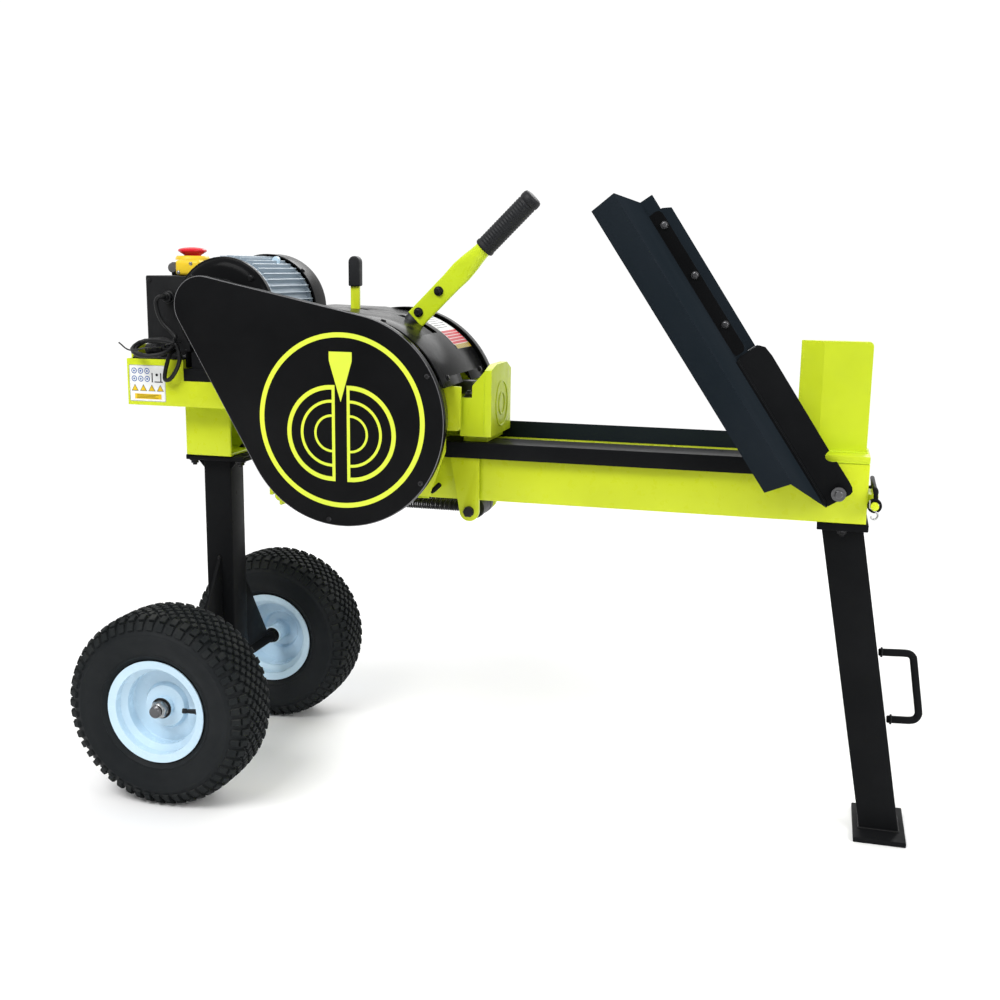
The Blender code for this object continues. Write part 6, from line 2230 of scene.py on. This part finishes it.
    def drive(self, maker: Maker, kit: Hardware) -> None:
        """Build the flywheels, their shaft, the pulleys, the belt and the bearings.

        Args:
            maker: Where pieces go.
            kit: The trees for repeated pieces.
        """
        x, z = DRIVE_AXIS
        for side in Side:
            out = side.value
            disc = [(0.0153, 0.0900), (0.0380, 0.0900), (0.0400, 0.0908), (0.0440, 0.0955), (0.1120, 0.0960)]
            disc += [(0.1150, 0.0905), (0.1165, 0.0900), (0.1465, 0.0900), (0.1480, 0.0915), (0.1480, 0.1185)]
            disc += [(0.1465, 0.1200), (0.1165, 0.1200), (0.1150, 0.1195), (0.1120, 0.1140), (0.0440, 0.1145)]
            disc += [(0.0400, 0.1192), (0.0380, 0.1200), (0.0153, 0.1200)]
            shape = turned([(radius, out * along) for radius, along in disc], 144, (x, 0.0, z))
            item = maker.mesh(f"flywheel_turned_{side.word}", shape, TURNED, 24.0)
            maker.settle(item, "flywheels", f"flywheel_{side.word}")
            seats = []
            for turn in range(4):
                angle = math.radians(20.0 + 90.0 * turn)
                seats.append(Bolt((x + 0.0275 * math.cos(angle), out * 0.1200, z + 0.0275 * math.sin(angle)),
                                  (0.0, out, 0.0), 0.0056))
            if side is Side.FAR:
                bolted(maker, kit, f"flywheel_bolts_{side.word}", seats, BOLT_BLACK, f"flywheel_{side.word}",
                        "flywheels")
            maker.refined(f"bearing_{side.word}", f"flange_bearing_{side.word}", OILED, 0.0006, 2)
            flange = []
            for turn in range(4):
                angle = math.radians(45.0 + 90.0 * turn)
                flange.append(Bolt((x + 0.0322 * math.cos(angle), out * 0.0830, z + 0.0322 * math.sin(angle)),
                                   (0.0, out, 0.0), 0.0038))
            bolted(maker, kit, f"bearing_bolts_{side.word}", flange, ZINC, f"bearing_{side.word}")
            maker.refined(f"housing_plate_{side.word}", f"side_plate_{side.word}", LIME, 0.0009, 2)
        maker.refined("flywheel_shaft", "shaft_and_pinion", OILED, 0.0004, 1)
        maker.refined("driven_pulley", "pulley_driven", TURNED, 0.0004, 1)
        maker.refined("motor_pulley", "pulley_motor", TURNED, 0.0004, 1)
        maker.refined("drive_belt", "belt_ribbed", BELT, 0.0003, 1)
        self.cross_plate(maker, kit)
        hook = [(0.4105, -0.0700, 0.5232), (0.4180, -0.0700, 0.5292), (0.4262, -0.0700, 0.5375)]
        item = maker.mesh("belt_guide_rod", tube(hook, 0.0042, 16), BLACK)
        maker.settle(item, "base", slot="belt_backplate")

    def build(self, maker: Maker, kit: Hardware) -> None:
        """Build everything round the flywheels.

        Args:
            maker: Where pieces go.
            kit: The trees for repeated pieces.
        """
        self.cover(maker, kit)
        self.hood(maker, kit)
        self.drive(maker, kit)


@dataclass
class SplitBeam:
    """The beam with its rails, the wedge, and the tow loop at its end.

    Attributes:
        wedge_base_top: The Z of the plate below the wedge.
    """

    wedge_base_top: float = 0.6150

    def tow_end(self, maker: Maker) -> None:
        """Build the tow loop and the clip that keeps it on.

        Args:
            maker: Where pieces go.
        """
        x, z = HITCH_AXIS
        maker.refined("hitch_rod", "hitch_lug", LIME, 0.0007, 2)
        path = [(1.1120, -0.0600, 0.5510), (1.1110, -0.0600, 0.5610), (1.1103, -0.0588, 0.5645), (1.1098, -0.0560,
                0.5668)]
        path += [(1.1095, -0.0520, 0.5675), (1.1095, -0.0200, 0.5675), (1.1095, 0.0200, 0.5675), (1.1095, 0.0520,
                0.5675)]
        path += [(1.1098, 0.0560, 0.5668), (1.1103, 0.0588, 0.5645), (1.1110, 0.0600, 0.5610), (1.1120, 0.0600, 0.5510)]
        shape = tube(path, 0.0035, 20)
        for out in (-1.0, 1.0):
            eye = [(0.0068, -0.0040), (0.0100, -0.0040), (0.0108, -0.0032), (0.0108, 0.0032), (0.0100, 0.0040),
                    (0.0068, 0.0040)]
            shape = shape.plus(turned(eye, 36, (x, out * 0.060, z)))
        item = maker.mesh("tow_ring", shape, BLACK, 30.0)
        maker.settle(item, "tow_loop", "tow_loop")
        clip = []
        for step in range(15):
            angle = math.radians(-160.0 + 230.0 * step / 14.0)
            clip.append((x + 0.0052 * math.cos(angle), -0.0668, z - 0.0135 + 0.0062 * math.sin(angle)))
        clip += [(x - 0.0070, -0.0668, z - 0.0020), (x - 0.0075, -0.0668, z + 0.0090)]
        shape = tube(clip, 0.0014, 12)
        item = maker.mesh("spring_clip", shape, ZINC)
        maker.settle(item, "base", slot="hub_nut_near")

    def build(self, maker: Maker, kit: Hardware) -> None:
        """Build the beam and what is fixed to it.

        Args:
            maker: Where pieces go.
            kit: The trees for repeated pieces.
        """
        maker.refined("beam", "square_beam", LIME, 0.0030, 4)
        maker.refined("rail_near", "rail_near_strip", BLACK, 0.0005, 2)
        maker.refined("rail_far", "rail_far_fence", SLATE, 0.0009, 3)
        maker.refined("wedge_base", "wedge_seat", LIME_FACE, 0.0010, 3)
        maker.refined("wedge_blade", "wedge_forged", LIME_FACE, 0.0006, 2, 8.0)
        top = self.wedge_base_top + 0.0004
        for out, word in ((-1.0, "near"), (1.0, "far")):
            line = [(1.0230, out * 0.0100, top), (1.0960, out * 0.0100, top)]
            weld(maker, kit, f"wedge_weld_{word}", line, LIME_WELD, "wedge_blade", 0.0026)
            line = [(0.9920, out * 0.0500, 0.6052), (1.0980, out * 0.0500, 0.6052)]
            weld(maker, kit, f"seat_weld_{word}", line, LIME_WELD, "wedge_base", 0.0016)
            line = [(0.1400, out * 0.0502, 0.5100), (0.4000, out * 0.0502, 0.5100)]
            weld(maker, kit, f"housing_weld_{word}", line, LIME_WELD, "beam", 0.0016)
        line = [(1.1012, -0.0270, 0.5542), (1.1012, 0.0270, 0.5542)]
        weld(maker, kit, "hitch_weld", line, LIME_WELD, "hitch_rod", 0.0014)
        clamps = [Bolt((x, 0.0673, 0.5920), (0.0, 1.0, 0.0), 0.0065) for x in (0.4265, 0.9475)]
        bolted(maker, kit, "rail_far_bolts", clamps, BOLT_BLACK, "rail_far")
        self.tow_end(maker)


@dataclass
class FrontLeg:
    """The leaning leg, its foot and its carrying handle."""

    handle_radius: float = 0.0060

    def build(self, maker: Maker, kit: Hardware) -> None:
        """Build the leg and its handle.

        Args:
            maker: Where pieces go.
            kit: The trees for repeated pieces.
        """
        maker.refined("front_leg", "leg_tube", BLACK, 0.0026, 3)
        maker.refined("foot_pad", "foot_plate", BLACK, 0.0014, 3)
        knots = [(1.1358, 0.0, 0.2962), (1.1560, 0.0, 0.2972), (1.1750, 0.0, 0.2981), (1.1830, 0.0, 0.2972)]
        knots += [(1.1880, 0.0, 0.2930), (1.1898, 0.0, 0.2870), (1.1965, 0.0, 0.2460), (1.2030, 0.0, 0.2060)]
        knots += [(1.2032, 0.0, 0.1980), (1.1995, 0.0, 0.1912), (1.1920, 0.0, 0.1878), (1.1780, 0.0, 0.1868)]
        knots += [(1.1558, 0.0, 0.1858)]
        item = maker.mesh("carry_handle", tube(smooth_route(knots, 4), self.handle_radius, 28), BLACK, 40.0)
        maker.settle(item, "base", "leg_handle")
        for name, place in (("upper", (1.1405, 0.2964)), ("lower", (1.1620, 0.1862))):
            loop = []
            for step in range(21):
                angle = 2.0 * math.pi * step / 20.0
                loop.append((place[0], 0.0066 * math.cos(angle), place[1] + 0.0066 * math.sin(angle)))
            weld(maker, kit, f"handle_weld_{name}", loop, WELD, "leg_handle", 0.0019)
        ring = [(1.1240, -0.0304, 0.0086), (1.1850, -0.0304, 0.0086), (1.1850, 0.0304, 0.0086), (1.1240, 0.0304,
                0.0086)]
        weld(maker, kit, "foot_weld", [*ring, ring[0]], WELD, "foot_pad", 0.0022)
        head = [(1.0368, -0.0304, 0.4965), (1.1000, -0.0304, 0.4965), (1.1000, 0.0304, 0.4965), (1.0368, 0.0304,
                0.4965)]
        weld(maker, kit, "leg_top_weld", [*head, head[0]], WELD, "front_leg", 0.0020)
        under = [Bolt((x, y, 0.4984), (0.0, 0.0, -1.0), 0.0070) for x in (1.0660,) for y in (-0.0405, 0.0405)]
        bolted(maker, kit, "leg_flange_bolts", under, BOLT_BLACK, "front_leg", Thread_length=0.5)


@dataclass
class RamCarriage:
    """The ram with its rack, the yoke and roller below it, and the return springs.

    Attributes:
        face: The X of the ram's front.
        ring_centre: The height of the rings on the ram's face.
    """

    face: float = 0.5100
    ring_centre: float = 0.6675

    def springs(self, maker: Maker, kit: Hardware) -> None:
        """Wind both return springs between the housing and the yoke.

        Args:
            maker: Where pieces go.
            kit: The trees for repeated pieces.
        """
        start, end = 0.1385, 0.4525
        for side in Side:
            y = side.value * 0.0260
            values = {
                "Turns": 78.0,
                "Coil radius": 0.0082,
                "Wire radius": 0.0015,
                "Length": end - start,
                "Surface": BOLT_BLACK,
            }
            item = maker.grown(f"coil_spring_{side.word}", kit.coil, values, None, 60.0)
            item.data.transform(Matrix.Translation((start, y, 0.4945)))
            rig.blend(item, "base", "ram", (start, y, 0.4945), (end, y, 0.4945))
            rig.replaces(item, f"return_spring_{side.word}")
            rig.slot(item, f"return_spring_{side.word}")

    def build(self, maker: Maker, kit: Hardware) -> None:
        """Build the carriage.

        Args:
            maker: Where pieces go.
            kit: The trees for repeated pieces.
        """
        maker.refined("ram_block", "ram_welded", LIME_FACE, 0.0009, 3)
        maker.refined("ram_rack", "rack_bar", OILED, 0.0004, 1)
        maker.refined("ram_yoke", "yoke_welded", LIME, 0.0007, 2)
        rings = Outline([], [])
        for radius in (0.0370, 0.0180):
            bead = [(radius - 0.0016, -0.0004), (radius + 0.0016, -0.0004), (radius + 0.0013, 0.0010), (radius, 0.0016),
                    (radius - 0.0013, 0.0010)]
            rings = rings.plus(turned(bead, 72, (self.face, 0.0, self.ring_centre), (1.0, 0.0, 0.0)))
        item = maker.mesh("ram_face_rings", rings, LIME_FACE)
        maker.settle(item, "ram", slot="ram_block")
        for out, word in ((-1.0, "near"), (1.0, "far")):
            edge = out * (0.0640 if out < 0 else 0.0610)
            line = [(0.4984, edge, 0.6250), (0.4984, edge, 0.7180)]
            weld(maker, kit, f"ram_weld_{word}", line, LIME_WELD, "ram_block", 0.0012, "ram")
        clamps = [Bolt((0.4680, y, 0.6804), (0.0, 0.0, 1.0), 0.0068) for y in (-0.050, -0.026, 0.026, 0.048)]
        bolted(maker, kit, "ram_clamp_bolts", clamps, BOLT_BLACK, "ram_block", "ram", Head_height=0.75,
                Thread_length=0.6)
        axle_x, axle_z = ROLLER_AXIS
        tyre = [(0.0053, -0.0300), (0.0163, -0.0300), (0.0176, -0.0288), (0.0176, -0.0150), (0.0170, -0.0142)]
        tyre += [(radius, -along) for radius, along in reversed(tyre)]
        item = maker.mesh("roller_turned", turned(tyre, 56, (axle_x, 0.0, axle_z)), PLASTIC, 25.0)
        maker.settle(item, "roller", "ram_roller")
        nuts = [Bolt((axle_x, out * 0.0600, axle_z), (0.0, out, 0.0), 0.0092) for out in (-1.0, 1.0)]
        bolted(maker, kit, "yoke_axle_nuts", nuts, BOLT_BLACK, "ram_yoke", "ram", Head_height=0.5, Washer_width=0.95)
        self.springs(maker, kit)


@dataclass
class Levers:
    """The drive lever with its ribbed grip, and the guard lever beside it.

    Attributes:
        rib_count: How many ribs the drive lever's grip has.
        grip_start: Where the grip starts along the lever.
        grip_end: Where it ends.
    """

    rib_count: int = 18
    grip_start: float = 0.1650
    grip_end: float = 0.2820

    def blade(self, maker: Maker) -> None:
        """Build the flat blade that turns into a round tube.

        Args:
            maker: Where pieces go.
        """
        along = Vector((math.cos(LEVER_ANGLE), 0.0, math.sin(LEVER_ANGLE)))
        across = Vector((-math.sin(LEVER_ANGLE), 0.0, math.cos(LEVER_ANGLE)))
        foot = Vector((LEVER_FOOT[0], 0.0, LEVER_FOOT[1]))
        rows = [(0.0, 0.0160, 0.0034, 6.0), (0.0006, 0.0168, 0.0040, 6.0), (0.088, 0.0172, 0.0040, 6.0)]
        rows += [(0.100, 0.0179, 0.0046, 5.0), (0.112, 0.0185, 0.0055, 4.0), (0.124, 0.0176, 0.0076, 3.2)]
        rows += [(0.136, 0.0165, 0.0100, 2.6), (0.148, 0.0148, 0.0122, 2.2), (0.160, 0.0135, 0.0135, 2.0)]
        rows += [(0.262, 0.0135, 0.0135, 2.0)]
        steps = 48
        corners: list[Vector] = []
        for distance, half_width, half_depth, power in rows:
            for step in range(steps):
                angle = 2.0 * math.pi * step / steps
                wide = half_width * math.copysign(abs(math.cos(angle)) ** (2.0 / power), math.cos(angle))
                deep = half_depth * math.copysign(abs(math.sin(angle)) ** (2.0 / power), math.sin(angle))
                corners.append(foot + along * distance + across * wide + Vector((0.0, deep, 0.0)))
        faces: list[tuple[int, ...]] = [tuple(range(steps))]
        for row in range(len(rows) - 1):
            base = row * steps
            for step in range(steps):
                after = (step + 1) % steps
                faces.append((base + step, base + after, base + steps + after, base + steps + step))
        last = (len(rows) - 1) * steps
        faces.append(tuple(range(last + steps - 1, last - 1, -1)))
        item = maker.mesh("lever_blade", Outline(corners, faces), LIME_ROUND, 40.0)
        maker.settle(item, "drive_lever", "main_lever")

    def build(self, maker: Maker, kit: Hardware) -> None:
        """Build both levers.

        Args:
            maker: Where pieces go.
            kit: The trees for repeated pieces.
        """
        self.blade(maker)
        along = Vector((math.cos(LEVER_ANGLE), 0.0, math.sin(LEVER_ANGLE)))
        foot = Vector((LEVER_FOOT[0], 0.0, LEVER_FOOT[1]))
        start, end = self.grip_start, self.grip_end
        grip = [(0.0138, start), (0.0160, start), (0.0172, start + 0.0015), (0.0173, start + 0.0050), (0.0166,
                start + 0.0066)]
        first = start + 0.0090
        pitch = (end - 0.0160 - first) / self.rib_count
        for rib in range(self.rib_count):
            low = first + rib * pitch
            grip += [(0.0161, low), (0.0162, low + pitch * 0.22), (0.0166, low + pitch * 0.34)]
            grip += [(0.0166, low + pitch * 0.66), (0.0162, low + pitch * 0.80)]
        grip += [(0.0156, end - 0.0150), (0.0168, end - 0.0138), (0.0172, end - 0.0100), (0.0168, end - 0.0045)]
        grip += [(0.0154, end - 0.0016), (0.0126, end - 0.0003), (0.0, end), (0.0, end - 0.0180), (0.0138,
                end - 0.0180)]
        item = maker.mesh("lever_rubber_grip", turned(grip, 56, foot, along), GRIP, 50.0)
        maker.settle(item, "drive_lever", "lever_grip")
        maker.refined("lever_cam", "cam_plate", OILED, 0.0006, 2)
        pair = [Bolt((x, -0.0040, z), (0.0, -1.0, 0.0), 0.0066) for x, z in ((0.4013, 0.8483), (0.3664, 0.8130))]
        bolted(maker, kit, "lever_bolts", pair, BOLT_BLACK, "lever_cam", "drive_lever", Thread_length=0.4)
        maker.refined("guard_lever", "guard_bar", LIME, 0.0008, 2)
        maker.refined("guard_lever_cap", "guard_rubber_cap", GRIP, 0.0022, 4)


@dataclass
class LogTray:
    """The folding tray on the near side.

    Attributes:
        fasteners: How far up the tray each strip fastener sits.
    """

    fasteners: tuple[float, ...] = (0.4910, 0.4030, 0.3160)

    def plate(self, maker: Maker, name: str, outline: Sequence[Point], span: Point, finish: Finish, slot: str) -> None:
        """Fix a thin flat plate to the tray.

        Args:
            maker: Where pieces go.
            name: The plate's name.
            outline: (along, normal) points round it.
            span: Its first and last Y.
            finish: Its finish.
            slot: The material slot it belongs to.
        """
        count = len(outline)
        corners = [tray_point(along, normal, y) for y in span for along, normal in outline]
        faces: list[tuple[int, ...]] = [tuple(range(count)), tuple(range(2 * count - 1, count - 1, -1))]
        faces += [(i, (i + 1) % count, count + (i + 1) % count, count + i) for i in range(count)]
        maker.settle(maker.mesh(name, Outline(corners, faces), finish), "tray", slot=slot)

    def build(self, maker: Maker, kit: Hardware) -> None:
        """Build the tray, its bracket and its pivot.

        Args:
            maker: Where pieces go.
            kit: The trees for repeated pieces.
        """
        maker.refined("tray_sheet", "tray_folded_sheet", SLATE, 0.0005, 2)
        maker.refined("tray_bracket", "tray_bracket_plate", BLACK, 0.0007, 2)
        set_out = []
        for distance in self.fasteners:
            spot = tray_point(distance, 0.0143, TRAY_LIP - 0.0018)
            set_out.append(Bolt((spot.x, spot.y - 0.0006, spot.z), (0.0, -1.0, 0.0), 0.0048))
        bolted(maker, kit, "tray_strip_bolts", set_out, DULL_STEEL, "tray_sheet", "tray")
        near = TRAY_LIP - 0.0015
        strip = [(0.2740, 0.0012), (0.5080, 0.0012), (0.5140, 0.0016), (0.5155, 0.0130), (0.5135, 0.0185), (0.5080,
                0.0213)]
        strip += [(0.2760, 0.0213), (0.2712, 0.0200), (0.2682, 0.0170), (0.2672, 0.0130), (0.2672, 0.0040)]
        self.plate(maker, "tray_rubbing_strip", strip, (near - 0.0009, near - 0.0001), BLACK_GLOSS, "tray_bracket")
        behind = [(0.1900, 0.0030), (0.2648, 0.0030), (0.2648, 0.0385), (0.1900, 0.0385)]
        self.plate(maker, "tray_back_lip", behind, (-0.0727, -0.0707), SLATE, "tray_sheet")
        x, z = TRAY_PIVOT
        pin = [(0.0, -0.0925), (0.0048, -0.0925), (0.0060, -0.0915), (0.0060, -0.0896), (0.0108, -0.0896), (0.0110,
                -0.0890)]
        pin += [(0.0110, -0.0884), (0.0060, -0.0880), (0.0060, -0.0722), (0.0112, -0.0722), (0.0120, -0.0714)]
        pin += [(0.0120, -0.0503), (0.0, -0.0503)]
        shape = turned(pin, 48, (x, 0.0, z))
        nut = prism(arc((x, z), 0.0105, 0.0, 300.0, 5), -0.0880, -0.0802)
        item = maker.mesh("tray_pivot_bolt", shape.plus(nut), DULL_STEEL, 28.0)
        maker.settle(item, "base", "tray_pivot")


def write_size(when: str) -> None:
    """Args:
        when: The key it is kept under.
    """
    low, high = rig.bounds()
    known: dict[str, Any] = {}
    if when != "frame":
        with open(SIZE_FILE, encoding="utf-8") as source:
            known = json.load(source)
    known[when] = {"low": list(low), "high": list(high)}
    with open(SIZE_FILE, "w", encoding="utf-8") as target:
        json.dump(known, target, indent=1)


def main() -> None:
    """Build the whole machine around its frame."""
    logging.basicConfig(level=logging.INFO, format="%(name)s: %(message)s")
    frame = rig.load()
    write_size("frame")
    maker = Maker(frame)
    kit = Hardware()
    studio = Studio()
    studio.camera()
    SwitchGear().build(maker, kit)
    RunningGear().build(maker, kit)
    Pillar().build(maker, kit)
    MotorDeck().build(maker, kit)
    DriveCase().build(maker, kit)
    SplitBeam().build(maker, kit)
    FrontLeg().build(maker, kit)
    RamCarriage().build(maker, kit)
    Levers().build(maker, kit)
    LogTray().build(maker, kit)
    studio.build()
    write_size("visual")


if __name__ == "__main__":
    main()
